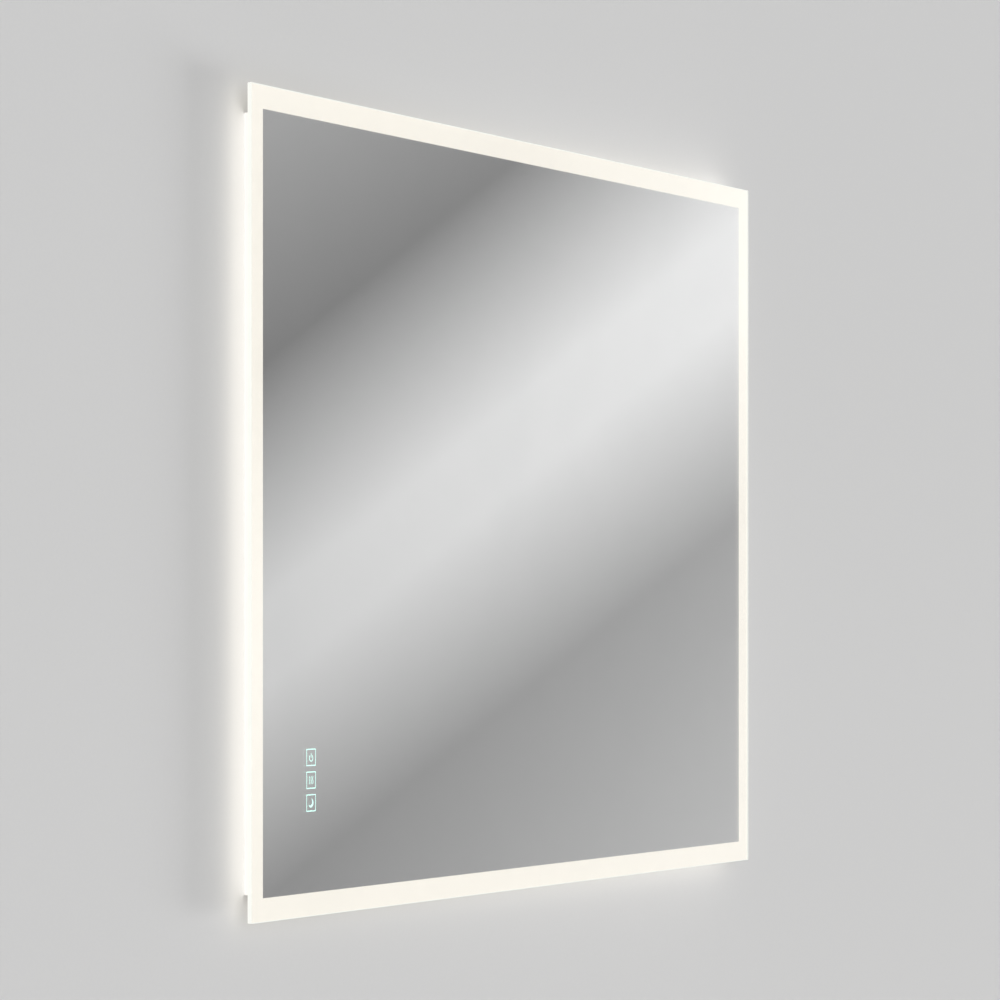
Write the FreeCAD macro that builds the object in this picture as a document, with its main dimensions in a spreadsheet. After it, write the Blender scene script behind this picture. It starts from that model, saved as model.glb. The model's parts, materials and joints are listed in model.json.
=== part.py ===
import FreeCAD, Part
import math
import os
import re
import Sketcher
from FreeCAD import Placement, Rotation, Vector

# A wall-hung lighted mirror. X runs along the wall to the right, Y points into the wall and Z is up.
# The origin is on the wall, in the middle of the wall rail's line of slots. A depth is measured from
# the wall towards the room, so a depth of 28 lies at Y = -28.

document = FreeCAD.newDocument("lighted_mirror")

# ---------------------------------------------------------------- driving sizes, in millimetres

sizes = {
    # pane
    "glass_width": 1200,
    "glass_height": 900,
    "overall_depth": 28,
    "glass_thickness": 5,
    "edge_polish": 0.6,
    "frosted_width": 25.6,
    "coating_thickness": 0.2,
    "body_inset": 28,
    "tape_thickness": 0.8,
    "tape_width": 20,
    "pad_width": 560,
    "pad_height": 400,
    "pad_thickness": 0.4,
    "pad_corner": 12,
    "pad_tab_width": 24,
    "pad_tab_height": 10,
    "pad_tab_thickness": 1.6,
    # frame rails
    "frame_standoff": 1,
    "frame_wall": 1.4,
    "web_setback": 13,
    "flange_reach": 30,
    "rib_start": 3,
    "rib_width": 0.8,
    "rib_height": 0.6,
    "lip_height": 3,
    "wire_hole_from_corner": 60,
    # corner cleats
    "cleat_width": 5.8,
    "cleat_clearance": 0.2,
    "cleat_thickness": 2.6,
    "cleat_leg": 60,
    "cleat_screw_from_corner": 40,
    # side diffusers
    "diffuser_wall": 1.6,
    "diffuser_back": 0.4,
    "snap_clearance": 0.2,
    "flange_clearance": 0.4,
    "snap_leg": 1.2,
    "snap_reach": 6,
    "barb_width": 0.5,
    # LED strips
    "strip_width": 10,
    "strip_thickness": 0.4,
    "strip_end_gap": 24,
    "chip_length": 3.5,
    "chip_width": 2.8,
    "chip_height": 0.8,
    "chip_pitch": 20,
    # wall bumpers
    "bumper_radius": 6,
    "bumper_from_corner": 80,
    "bumper_inset": 9,
    # cross bars
    "bar_width": 24,
    "bar_wall": 1.2,
    "bar_leg": 10,
    "bar_gap": 1,
    "bar_screw_inset": 26,
    "bar_screw_spread": 6,
    # thin-headed screws
    "thin_head_radius": 2.8,
    "thin_head_height": 0.8,
    "thin_shank_radius": 1.45,
    "thin_shank_length": 4.2,
    "thin_hole_clearance": 0.15,
    # wall rail
    "rail_below_top": 100,
    "wall_rail_length": 860,
    "wall_rail_thickness": 2,
    "wall_rail_drop": 16,
    "wall_rail_rise": 14,
    "wall_rail_corner": 4,
    "hook_offset": 5,
    "seat_height": 33,
    "slot_length": 12,
    "slot_width": 6,
    "outer_slot": 400,
    "inner_slot": 150,
    # hangers
    "hanger_spread": 350,
    "hanger_width": 40,
    "hanger_thickness": 2,
    "hanger_drop": 8,
    "tongue_length": 9,
    "tongue_gap": 0.8,
    "plate_gap": 1,
    "nut_thickness": 3,
    "nut_edge": 4.4,
    # hanger brackets
    "bracket_width": 46,
    "bracket_wall": 2,
    "bracket_gap": 0.6,
    "bracket_front_gap": 0.4,
    "bracket_drop": 26,
    "bracket_cheek_height": 36,
    "bracket_foot_overlap": 7.6,
    "bracket_screw_spread": 15,
    "level_travel": 3,
    "level_clearance": 1.6,
    # level screws
    "level_screw_depth": 13.4,
    "level_screw_radius": 2.95,
    "level_screw_tip": 8,
    "level_head_radius": 5,
    "level_head_height": 4,
    "level_socket_radius": 2.3,
    "level_collar_radius": 4.6,
    "level_collar_height": 0.8,
    "thread_clearance": 0.05,
    "level_hole_clearance": 0.35,
    # electronics tray
    "tray_end_gap": 2,
    "module_gap": 7,
    "gland_room": 12,
    "tray_half_clear": 55,
    "tray_wall": 1,
    "tray_floor": 17,
    "tray_flange": 19,
    "tray_screw_spread": 150,
    "tray_screw_line": 66,
    "tray_notch": 2.4,
    # LED driver
    "driver_length": 160,
    "driver_width": 40,
    "driver_back": 3,
    "driver_base_depth": 4,
    "driver_wall": 1.5,
    "driver_corner": 3,
    "driver_ear_length": 12,
    "driver_ear_width": 18,
    "driver_ear_thickness": 2,
    "driver_ear_hole": 6,
    "driver_board_thickness": 1.6,
    "board_clearance": 0.5,
    "peg_radius": 2,
    "peg_height": 1.2,
    "transformer_length": 26,
    "transformer_width": 22,
    "transformer_height": 7,
    "capacitor_radius": 4,
    "capacitor_height": 7.4,
    # control module
    "control_length": 64,
    "control_width": 46,
    "control_back": 5,
    "control_wall": 1.5,
    "relay_length": 20,
    "relay_width": 15,
    "relay_height": 6,
    # mains terminal box
    "terminal_length": 62,
    "terminal_width": 48,
    "terminal_wall": 1.5,
    "lid_back": 2.4,
    "lid_thickness": 1.6,
    "hinge_rise": 2.5,
    "hinge_pin_radius": 1.15,
    "hinge_clearance": 0.05,
    "ear_thickness": 2,
    "ear_offset": 18,
    "ear_radius": 2.4,
    "knuckle_gap": 0.3,
    "knuckle_width": 5,
    "knuckle_radius": 1.7,
    "block_length": 38,
    "block_width": 17,
    "block_height": 9,
    "pole_pitch": 12,
    "clamp_well_radius": 2.6,
    "clamp_screw_radius": 2.2,
    "clamp_screw_height": 3,
    "clamp_well_depth": 5,
    "wire_entry_radius": 2,
    # cable gland
    "gland_depth": 9.5,
    "gland_thread_radius": 6,
    "gland_hex_flats": 15,
    "gland_collar": 4,
    "gland_bore_radius": 4.5,
    "gland_body_reach": 8,
    "gland_locknut": 3.5,
    "gland_tail": 6,
    "seal_radius": 3.5,
    "seal_length": 8,
    "dome_length": 10,
    "dome_mouth_radius": 4,
    "dome_bore_radius": 6.05,
    # touch keys
    "key_size": 19,
    "key_line": 1.2,
    "key_pitch": 25,
    "key_from_left": 121,
    "key_from_bottom": 149,
    "legend_thickness": 0.3,
    "sensor_width": 34,
    "sensor_height": 84,
    "sensor_back": 10.4,
    "sensor_wall": 1.5,
    "sensor_board_thickness": 1.6,
    "sensor_cell_width": 22,
    "sensor_cell_height": 22,
    "electrode_size": 17,
    "electrode_ring": 2,
    "electrode_thickness": 0.8,
    "key_lamp_size": 3,
    "key_lamp_height": 1.2,
    # leads and clips
    "lead_radius": 1.6,
    "lead_depth": 18.4,
    "lead_floor_gap": 0.3,
    "lead_row": 38,
    "link_row": 31,
    "link_start": 20,
    "lead_hole_clearance": 0.4,
    "lead_straight": 20,
    "lead_slope": 40,
    "lead_tail": 3,
    "clip_from_middle": 300,
    "key_clip_drop": 190,
    "feed_clip_drop": 250,
    "pad_lead_dip": 0.75,
    "clip_length": 8,
    "clip_width": 8,
    "clip_wall": 1.2,
    "clip_clearance": 0.15,
}

# Places that follow from the driving sizes, each named once. Words in them are sizes or other places.
places = {
    "half_width": "glass_width / 2",
    "half_height": "glass_height / 2",
    "pane_middle": "rail_below_top - glass_height / 2",
    "glass_back": "overall_depth - glass_thickness",
    "coating_back": "glass_back - coating_thickness",
    "frame_front": "coating_back - tape_thickness",
    "body_half_width": "half_width - body_inset",
    "body_half_height": "half_height - body_inset",
    # frame section: depths, then distances in from the body's outline
    "flange_face": "frame_standoff + frame_wall",
    "front_flange_face": "frame_front - frame_wall",
    "flange_start": "diffuser_wall + flange_clearance",
    "web_inner": "web_setback + frame_wall",
    "lip_start": "web_inner + cleat_width + 2 * cleat_clearance",
    "lip_end": "lip_start + frame_wall",
    "rib_end": "rib_start + rib_width",
    "frame_middle": "(frame_standoff + frame_front) / 2",
    "cleat_start": "web_inner + cleat_clearance",
    "cleat_end": "cleat_start + cleat_width",
    "cleat_line": "cleat_start + cleat_width / 2",
    "thin_hole": "thin_shank_radius + thin_hole_clearance",
    "lead_hole": "lead_radius + lead_hole_clearance",
    "mitre_overrun": "frame_wall",
    # cross bars and tray
    "bar_line": "tray_half_clear + tray_wall + bar_gap + bar_width / 2",
    "bar_half_length": "body_half_width - lip_end - flange_clearance",
    "tray_back": "flange_face - tray_wall",
    "tray_length": "2 * (tray_wall + driver_ear_length + module_gap) + tray_end_gap + driver_length"
                   " + control_length + terminal_length + gland_room",
    "driver_centre": "tray_wall + tray_end_gap + driver_ear_length + (driver_length - tray_length) / 2",
    "terminal_centre": "(tray_length - terminal_length) / 2 - tray_wall - gland_room",
    "control_centre": "terminal_centre - module_gap - (terminal_length + control_length) / 2",
    "lead_floor": "tray_floor - lead_floor_gap - lead_radius",
    # hanging
    "tongue_front": "hook_offset - tongue_gap",
    "hook_front": "hook_offset + wall_rail_thickness",
    "plate_back": "hook_front + plate_gap",
    "plate_front": "plate_back + hanger_thickness",
    "hook_top": "seat_height + hanger_thickness",
    "bracket_back": "hook_front + bracket_gap",
    "bracket_front": "front_flange_face - bracket_front_gap",
    "bracket_roof": "hook_top + level_travel + level_clearance",
    "flange_edge": "rail_below_top - body_inset - flange_reach",
    # driver
    "driver_split": "tray_floor - driver_base_depth",
    "driver_lead_depth": "driver_split - lead_radius - 2 * driver_wall",
    "board_front": "tray_floor - driver_wall - peg_height",
    "board_back": "board_front - driver_board_thickness",
    # control module
    "control_roof": "control_back + control_wall",
    "control_board_back": "tray_floor - driver_wall - driver_board_thickness",
    # terminal box
    "box_back": "lid_back + lid_thickness",
    "box_floor": "tray_floor - terminal_wall",
    "hinge_depth": "lid_back + lid_thickness / 2",
    "hinge_height": "terminal_width / 2 + hinge_rise",
    "block_back": "box_floor - block_height",
    "knuckle_start": "ear_offset + ear_thickness + knuckle_gap",
    # keys
    "key_left": "key_from_left - half_width",
    "key_middle": "rail_below_top - glass_height + key_from_bottom",
    "legend_back": "coating_back - legend_thickness",
    "sensor_split": "sensor_back + sensor_wall + sensor_board_thickness + 2 * snap_clearance",
    "sensor_board_back": "sensor_back + sensor_wall + snap_clearance",
    "sensor_board_front": "sensor_board_back + sensor_board_thickness",
}

sheet = document.addObject("Spreadsheet::Sheet", "Sizes")
for row, (name, value) in enumerate(sizes.items(), 1):
    sheet.set(f"A{row}", name)
    sheet.set(f"B{row}", str(value))
    sheet.setAlias(f"B{row}", name)
document.recompute()

words = re.compile(r"[a-z][a-z_]*")
sub_parts = []


def formula(text):
    """Turns the names in a formula into cells of the sheet, and named places into their formulas."""
    def swap(match):
        word = match.group()
        if word in places:
            return "(" + formula(places[word]) + ")"
        if word in sizes:
            return "Sizes." + word
        return word
    return words.sub(swap, text)


def bind(thing, **formulas):
    """Binds properties of an object to formulas of the sheet."""
    for prop, text in formulas.items():
        thing.setExpression(prop.replace("__", "."), formula(text))


def place(thing, across="0", depth="0", up="0", turn=None):
    """Sets an object's turn, and binds its place: across the wall, out from it, and up."""
    if turn is not None:
        thing.Placement = Placement(Vector(0, 0, 0), turn)
    bind(thing, Placement__Base__x=across, Placement__Base__y=f"-({depth})", Placement__Base__z=up)


# ---------------------------------------------------------------- sketches and features

def hold(sketch, kind, shape, point, text, start):
    """Holds one coordinate of a sketch point at a formula."""
    index = sketch.addConstraint(Sketcher.Constraint(kind, -1, 1, shape, point, start))
    sketch.setExpression(f"Constraints[{index}]", formula(text))


def draw_polygon(sketch, corners):
    """A closed outline through corners, each an (across, up) pair of formulas."""
    first = sketch.GeometryCount
    count = len(corners)
    starts = []
    for index in range(count):
        angle = 2 * math.pi * index / count
        starts.append(Vector(math.cos(angle), math.sin(angle), 0))
    for index in range(count):
        line = Part.LineSegment(starts[index], starts[(index + 1) % count])
        sketch.addGeometry(line, False)
    for index in range(count):
        following = first + (index + 1) % count
        sketch.addConstraint(Sketcher.Constraint("Coincident", first + index, 2, following, 1))
    for index, (across, up) in enumerate(corners):
        hold(sketch, "DistanceX", first + index, 1, across, starts[index].x)
        hold(sketch, "DistanceY", first + index, 1, up, starts[index].y)


def draw_circle(sketch, across, up, radius):
    """A circle with its centre and radius bound to formulas."""
    shape = sketch.GeometryCount
    sketch.addGeometry(Part.Circle(Vector(1, 1, 0), Vector(0, 0, 1), 1), False)
    index = sketch.addConstraint(Sketcher.Constraint("Radius", shape, 1))
    sketch.setExpression(f"Constraints[{index}]", formula(radius))
    hold(sketch, "DistanceX", shape, 3, across, 1)
    hold(sketch, "DistanceY", shape, 3, up, 1)


def rectangle(left, right, low, high):
    """Corners of an upright rectangle."""
    return [(left, low), (right, low), (right, high), (left, high)]


def centred(width, height, across="0", up="0"):
    """Corners of a rectangle about a centre."""
    return rectangle(f"{across} - ({width}) / 2", f"{across} + ({width}) / 2",
                     f"{up} - ({height}) / 2", f"{up} + ({height}) / 2")


def section(corners):
    """Corners given as (depth, distance up), turned into the section sketch's own axes."""
    return [(f"-({depth})", up) for depth, up in corners]


def new_body(label):
    """An empty body whose label names its file."""
    body = document.addObject("PartDesign::Body", label)
    body.Label = label
    sub_parts.append(body)
    return body


def draw(body, plane_role, outlines, height="0"):
    """A sketch on one of the body's own planes, raised by a height. An outline is a list of corners, or
    a circle's (across, up, radius)."""
    sketch = body.newObject("Sketcher::SketchObject", body.Name + "_sketch")
    plane = next(item for item in body.Origin.OriginFeatures if item.Role == plane_role)
    sketch.AttachmentSupport = [(plane, "")]
    sketch.MapMode = "FlatFace"
    bind(sketch, AttachmentOffset__Base__z=height)
    for outline in outlines:
        if isinstance(outline, tuple):
            draw_circle(sketch, *outline)
        else:
            draw_polygon(sketch, outline)
    return sketch


def pad(body, plane_role, outlines, low, high):
    """Adds material between two heights over a plane. Over the wall plane a height is a depth."""
    feature = body.newObject("PartDesign::Pad", body.Name + "_pad")
    feature.Profile = draw(body, plane_role, outlines, low)
    bind(feature, Length=f"({high}) - ({low})")
    document.recompute()
    return feature


def run(body, corners, length):
    """Extrudes a section, given as (depth, up) corners, evenly both ways along X."""
    feature = body.newObject("PartDesign::Pad", body.Name + "_run")
    feature.Profile = draw(body, "YZ_Plane", [section(corners)])
    feature.SideType = "Symmetric"
    bind(feature, Length=length)
    document.recompute()
    return feature


def cut(body, plane_role, outlines, low, high):
    """Removes material between two heights over a plane, and stops if nothing was there."""
    before = body.Shape.Volume
    feature = body.newObject("PartDesign::Pocket", body.Name + "_cut")
    feature.Profile = draw(body, plane_role, outlines, high)
    bind(feature, Length=f"({high}) - ({low})")
    document.recompute()
    if body.Shape.Volume > before - 1e-4:
        raise ValueError(body.Label + ": a cut removed nothing")
    return feature


def spin(body, corners):
    """Turns an outline of (radius, height) corners about the body's Z axis."""
    feature = body.newObject("PartDesign::Revolution", body.Name + "_turned")
    sketch = draw(body, "XZ_Plane", [corners])
    feature.Profile = sketch
    feature.ReferenceAxis = (sketch, ["V_Axis"])
    feature.Angle = 360
    document.recompute()
    return feature


def soften(body, direction, radius, kind="Fillet"):
    """Rounds or bevels every straight edge of the body so far that runs along a direction."""
    tip = body.Tip
    names = []
    for index, edge in enumerate(tip.Shape.Edges, 1):
        if not isinstance(edge.Curve, Part.Line):
            continue
        if abs(abs(edge.tangentAt(edge.FirstParameter).dot(direction)) - 1) < 1e-6:
            names.append(f"Edge{index}")
    feature = body.newObject("PartDesign::" + kind, body.Name + "_edges")
    feature.Base = (tip, names)
    bind(feature, **{"Radius" if kind == "Fillet" else "Size": radius})
    document.recompute()
    return feature


def copies(label, master, spots, turn=None):
    """One node of identical separate solids: the master set at each (across, depth, up) spot. A spot
    may hold a turn of its own."""
    links = []
    for index, spot in enumerate(spots):
        link = document.addObject("App::Link", f"{label}_{index}")
        link.LinkedObject = master
        place(link, *spot[:3], turn=spot[3] if len(spot) > 3 else turn or Rotation())
        links.append(link)
    group = document.addObject("Part::Compound", label)
    group.Label = label
    group.Links = links
    sub_parts.append(group)
    return group


def block(name, low, high):
    """A box between two (across, depth, up) corners of formulas."""
    box = document.addObject("Part::Box", name)
    bind(box, Length=f"({high[0]}) - ({low[0]})", Width=f"({high[1]}) - ({low[1]})",
         Height=f"({high[2]}) - ({low[2]})")
    place(box, low[0], high[1], low[2])
    return box


def difference(name, base, tool):
    """The base with the tool's space taken out."""
    result = document.addObject("Part::Cut", name)
    result.Base = base
    result.Tool = tool
    return result


facing_room = Rotation(Vector(1, 0, 0), 90)
sides = {"left": "-1", "right": "1"}
y_axis = Vector(0, 1, 0)


# ---------------------------------------------------------------- pane

def make_glass():
    """The pane, with its front and back rims bevelled and polished."""
    body = new_body("mirror_glass")
    plate = pad(body, "XZ_Plane", [centred("glass_width", "glass_height")], "glass_back", "overall_depth")
    faces = []
    for index, face in enumerate(plate.Shape.Faces, 1):
        if abs(face.normalAt(0, 0).y) > 0.99:
            faces.append(f"Face{index}")
    bevel = body.newObject("PartDesign::Chamfer", "mirror_glass_bevel")
    bevel.Base = (plate, faces)
    bind(bevel, Size="edge_polish")
    place(body, up="pane_middle")


def make_frosted_band():
    """The translucent border printed on the pane's back, from its bevel to the silvering."""
    body = new_body("frosted_band")
    outer = centred("glass_width - 2 * edge_polish", "glass_height - 2 * edge_polish")
    inner = centred("glass_width - 2 * frosted_width", "glass_height - 2 * frosted_width")
    pad(body, "XZ_Plane", [outer, inner], "coating_back", "glass_back")
    place(body, up="pane_middle")


def key_heights():
    """Middle heights of the three keys, from the lowest up."""
    return [f"key_middle + ({step}) * key_pitch" for step in (-1, 0, 1)]


def make_silver_layer():
    """The silvering and its paint, with a square line left clear round each key. What lies inside
    each line stays as a silvered island on the glass."""
    reach = "half_width - frosted_width"
    rise = "half_height - frosted_width"
    plate = block("silver_plate", (f"-({reach})", "coating_back", f"pane_middle - ({rise})"),
                  (reach, "glass_back", f"pane_middle + {rise}"))
    layer = plate
    for index, height in enumerate(key_heights()):
        half = "key_size / 2"
        inner = "(key_size / 2 - key_line)"
        outside = block(f"key_outside_{index}", (f"key_left - {half}", "coating_back", f"{height} - {half}"),
                        (f"key_left + {half}", "glass_back", f"{height} + {half}"))
        inside = block(f"key_inside_{index}", (f"key_left - {inner}", "coating_back", f"{height} - {inner}"),
                       (f"key_left + {inner}", "glass_back", f"{height} + {inner}"))
        line = difference(f"key_line_{index}", outside, inside)
        layer = difference(f"silver_step_{index}", layer, line)
    layer.Label = "silver_layer"
    sub_parts.append(layer)


def make_demister_pad():
    """The heating film on the silvering, with the folded tab that its lead is soldered to."""
    body = new_body("demister_pad")
    pad(body, "XZ_Plane", [centred("pad_width", "pad_height")], "coating_back - pad_thickness", "coating_back")
    soften(body, y_axis, "pad_corner")
    tab = centred("pad_tab_width", "pad_tab_height", up="pad_tab_height - pad_height / 2")
    pad(body, "XZ_Plane", [tab], "coating_back - pad_thickness - pad_tab_thickness",
        "coating_back - pad_thickness")
    place(body, up="pane_middle")


def make_bond_tape():
    """Four strips of foam tape between the frame's front flanges and the silvering."""
    near = "(flange_start + (flange_reach - flange_start - tape_width) / 2)"
    far = f"({near} + tape_width)"
    wide_out = f"(body_half_width - {near})"
    wide_in = f"(body_half_width - {far})"
    tall_out = f"(body_half_height - {near})"
    tall_in = f"(body_half_height - {far})"
    strips = []
    for side in ("-", ""):
        low, high = (tall_in, tall_out) if side == "" else (f"-{tall_out}", f"-{tall_in}")
        strips.append(block("tape_row", (f"-{wide_out}", "frame_front", f"pane_middle + {low}"),
                            (wide_out, "coating_back", f"pane_middle + {high}")))
        low, high = (wide_in, wide_out) if side == "" else (f"-{wide_out}", f"-{wide_in}")
        strips.append(block("tape_column", (low, "frame_front", f"pane_middle - {tall_in}"),
                            (high, "coating_back", f"pane_middle + {tall_in}")))
    group = document.addObject("Part::Compound", "bond_tape")
    group.Label = "bond_tape"
    group.Links = strips
    sub_parts.append(group)


# ---------------------------------------------------------------- frame rails, diffusers and LED strips

# Each side of the frame is drawn as the top one, with its outline on Z = 0, and turned to its place.
frame_sides = {
    "top": (0, "2 * body_half_width", "0", "pane_middle + body_half_height"),
    "right": (90, "2 * body_half_height", "body_half_width", "pane_middle"),
    "bottom": (180, "2 * body_half_width", "0", "pane_middle - body_half_height"),
    "left": (-90, "2 * body_half_height", "-body_half_width", "pane_middle"),
}

rail_section = [
    ("frame_standoff", "-flange_start"),
    ("frame_standoff", "-flange_reach"),
    ("flange_face", "-flange_reach"),
    ("flange_face", "-lip_end"),
    ("flange_face + lip_height", "-lip_end"),
    ("flange_face + lip_height", "-lip_start"),
    ("flange_face", "-lip_start"),
    ("flange_face", "-web_inner"),
    ("front_flange_face", "-web_inner"),
    ("front_flange_face", "-flange_reach"),
    ("frame_front", "-flange_reach"),
    ("frame_front", "-flange_start"),
    ("front_flange_face", "-flange_start"),
    ("front_flange_face", "-rib_start"),
    ("front_flange_face - rib_height", "-rib_start"),
    ("front_flange_face - rib_height", "-rib_end"),
    ("front_flange_face", "-rib_end"),
    ("front_flange_face", "-web_setback"),
    ("flange_face", "-web_setback"),
    ("flange_face", "-rib_end"),
    ("flange_face + rib_height", "-rib_end"),
    ("flange_face + rib_height", "-rib_start"),
    ("flange_face", "-rib_start"),
    ("flange_face", "-flange_start"),
]

# The diffuser's two legs snap behind the ribs of the rail's flanges.
rear_leg = "(flange_face + rib_height + snap_clearance)"
front_leg = "(front_flange_face - rib_height - snap_clearance)"
barb_start = "(rib_end + flange_clearance)"
diffuser_section = [
    ("diffuser_back", "0"),
    ("diffuser_back", "-diffuser_wall"),
    (rear_leg, "-diffuser_wall"),
    (rear_leg, f"-{barb_start}"),
    ("flange_face + snap_clearance", f"-{barb_start}"),
    ("flange_face + snap_clearance", f"-{barb_start} - barb_width"),
    (f"{rear_leg} + snap_clearance", "-snap_reach"),
    (f"{rear_leg} + snap_leg", "-snap_reach"),
    (f"{rear_leg} + snap_leg", "-diffuser_wall"),
    (f"{front_leg} - snap_leg", "-diffuser_wall"),
    (f"{front_leg} - snap_leg", "-snap_reach"),
    (f"{front_leg} - snap_clearance", "-snap_reach"),
    ("front_flange_face - snap_clearance", f"-{barb_start} - barb_width"),
    ("front_flange_face - snap_clearance", f"-{barb_start}"),
    (front_leg, f"-{barb_start}"),
    (front_leg, "-diffuser_wall"),
    ("coating_back - snap_clearance", "-diffuser_wall"),
    ("coating_back - snap_clearance", "0"),
]


def mitre(body, length, reach):
    """Cuts both ends at 45 degrees, inwards from the outline's corners."""
    past = f"({reach} + mitre_overrun)"
    corner = f"(({length}) / 2)"
    for side in ("", "-"):
        triangle = [(f"{side}({corner} + mitre_overrun)", "mitre_overrun"),
                    (f"{side}({corner} + mitre_overrun)", f"-{past}"),
                    (f"{side}({corner} - {past})", f"-{past}")]
        cut(body, "XZ_Plane", [triangle], "0", "overall_depth")


def set_side(thing, side):
    """Turns a piece drawn for the top side to its own side of the frame."""
    angle, _, across, up = frame_sides[side]
    place(thing, across, "0", up, Rotation(y_axis, angle))


def make_rail(side):
    """A mitred rail: a web with a flange each side, ribs for the diffuser outside and a lip for the
    corner cleats inside."""
    length = frame_sides[side][1]
    body = new_body("frame_rail_" + side)
    run(body, rail_section, length)
    mitre(body, length, "flange_reach")
    holes = []
    for end in ("", "-"):
        holes.append((f"{end}(({length}) / 2 - cleat_screw_from_corner)", "-cleat_line", "thin_hole"))
    if side in ("left", "right"):
        for bar in ("bar_line", "-bar_line"):
            for spread in ("+", "-"):
                holes.append((f"{bar} {spread} bar_screw_spread", "-bar_screw_inset", "thin_hole"))
    if side == "top":
        for hanger in sides.values():
            for spread in ("+", "-"):
                across = f"{hanger} * hanger_spread {spread} bracket_screw_spread"
                holes.append((across, "-(flange_reach - bracket_foot_overlap / 2)", "thin_hole"))
    cut(body, "XZ_Plane", holes, "frame_standoff", "flange_face")
    if side == "bottom":
        hole = (f"({length}) / 2 - wire_hole_from_corner", "-lead_depth", "lead_hole")
        cut(body, "XY_Plane", [hole], "-web_inner", "-web_setback")
    set_side(body, side)


def make_diffuser(side):
    """An opal cover that closes the rail's outer channel and glows."""
    length = frame_sides[side][1]
    body = new_body("diffuser_" + side)
    run(body, diffuser_section, length)
    mitre(body, length, "snap_reach")
    set_side(body, side)


def make_led_strip(side):
    """A tape of LEDs on the rail's web, facing out through the diffuser."""
    length = frame_sides[side][1]
    strip = f"({length} - 2 * strip_end_gap)"
    steps = f"floor(({strip} - 2 * chip_length) / chip_pitch)"
    body = new_body("led_strip_" + side)
    pad(body, "XY_Plane", [centred(strip, "strip_width", up="-frame_middle")],
        "-web_setback", "-web_setback + strip_thickness")
    chip = centred("chip_length", "chip_width", f"-({steps}) * chip_pitch / 2", "-frame_middle")
    lamp = pad(body, "XY_Plane", [chip], "-web_setback + strip_thickness",
               "-web_setback + strip_thickness + chip_height")
    row = body.newObject("PartDesign::LinearPattern", body.Name + "_row")
    row.Originals = [lamp]
    row.Direction = (lamp.Profile[0], ["H_Axis"])
    bind(row, Length=f"{steps} * chip_pitch", Occurrences=f"{steps} + 1")
    body.Tip = row
    set_side(body, side)


def make_bumpers():
    """Four soft pads that keep the frame's back off the wall."""
    pads = []
    for across_side in ("-", ""):
        for up_side in ("-", "+"):
            bumper = document.addObject("Part::Cylinder", "bumper")
            bind(bumper, Radius="bumper_radius", Height="frame_standoff")
            place(bumper, f"{across_side}(body_half_width - bumper_from_corner)", "0",
                  f"pane_middle {up_side} (body_half_height - bumper_inset)", facing_room)
            pads.append(bumper)
    group = document.addObject("Part::Compound", "wall_bumpers")
    group.Label = "wall_bumpers"
    group.Links = pads
    sub_parts.append(group)


def make_thin_screw():
    """The thin-headed screw that the sheet parts share, its head's seat on Z = 0."""
    screw = document.addObject("PartDesign::Body", "thin_screw")
    spin(screw, [("0", "-thin_head_height"), ("thin_head_radius", "-thin_head_height"),
                 ("thin_head_radius", "0"), ("thin_shank_radius", "0"),
                 ("thin_shank_radius", "thin_shank_length"), ("0", "thin_shank_length")])
    return screw


def make_cleats(screw):
    """Flat L-shaped cleats in the rails' inner channels, screwed through the rear flanges."""
    cleat = document.addObject("PartDesign::Body", "cleat")
    outline = [("cleat_start", "cleat_start"), ("cleat_leg", "cleat_start"), ("cleat_leg", "cleat_end"),
               ("cleat_end", "cleat_end"), ("cleat_end", "cleat_leg"), ("cleat_start", "cleat_leg")]
    pad(cleat, "XZ_Plane", [outline], "flange_face", "flange_face + cleat_thickness")
    hole = "thin_shank_radius + thread_clearance"
    cut(cleat, "XZ_Plane", [("cleat_screw_from_corner", "cleat_line", hole),
                            ("cleat_line", "cleat_screw_from_corner", hole)],
        "flange_face", "flange_face + cleat_thickness")
    corners = [("-", "-", 0), ("-", "+", 90), ("", "+", 180), ("", "-", 270)]
    spots = []
    screws = []
    for across_side, up_side, angle in corners:
        across = f"{across_side}body_half_width"
        up = f"pane_middle {up_side} body_half_height"
        spots.append((across, "0", up, Rotation(y_axis, angle)))
        inward = "+" if across_side == "-" else "-"
        onward = "+" if up_side == "-" else "-"
        screws.append((f"{across} {inward} cleat_screw_from_corner", "frame_standoff",
                       f"{up} {onward} cleat_line"))
        screws.append((f"{across} {inward} cleat_line", "frame_standoff",
                       f"{up} {onward} cleat_screw_from_corner"))
    copies("corner_cleats", cleat, spots)
    copies("cleat_screws", screw, screws, facing_room)


def make_cross_bars(screw):
    """Two channels from side rail to side rail, open towards the pane, that carry the tray."""
    screws = []
    for name, line in (("upper", "bar_line"), ("lower", "-bar_line")):
        body = new_body("cross_bar_" + name)
        half = "bar_width / 2"
        low = "flange_face"
        run(body, [(low, f"-{half}"), (f"{low} + bar_leg", f"-{half}"), (f"{low} + bar_leg", f"bar_wall - {half}"),
                   (f"{low} + bar_wall", f"bar_wall - {half}"), (f"{low} + bar_wall", f"{half} - bar_wall"),
                   (f"{low} + bar_leg", f"{half} - bar_wall"), (f"{low} + bar_leg", half), (low, half)],
            "2 * bar_half_length")
        holes = []
        inward = "tray_screw_line - bar_line" if name == "upper" else "bar_line - tray_screw_line"
        for side in sides.values():
            holes.append((f"{side} * tray_screw_spread", inward, "thin_hole"))
            for spread in ("bar_screw_spread", "-bar_screw_spread"):
                across = f"{side} * (body_half_width - bar_screw_inset)"
                holes.append((across, spread, "thin_hole"))
                screws.append((across, "frame_standoff", f"pane_middle + {line} + {spread}"))
        cut(body, "XZ_Plane", holes, "flange_face", "flange_face + bar_wall")
        place(body, up=f"pane_middle + {line}")
    copies("cross_bar_screws", screw, screws, facing_room)


# ---------------------------------------------------------------- hanging

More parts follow.
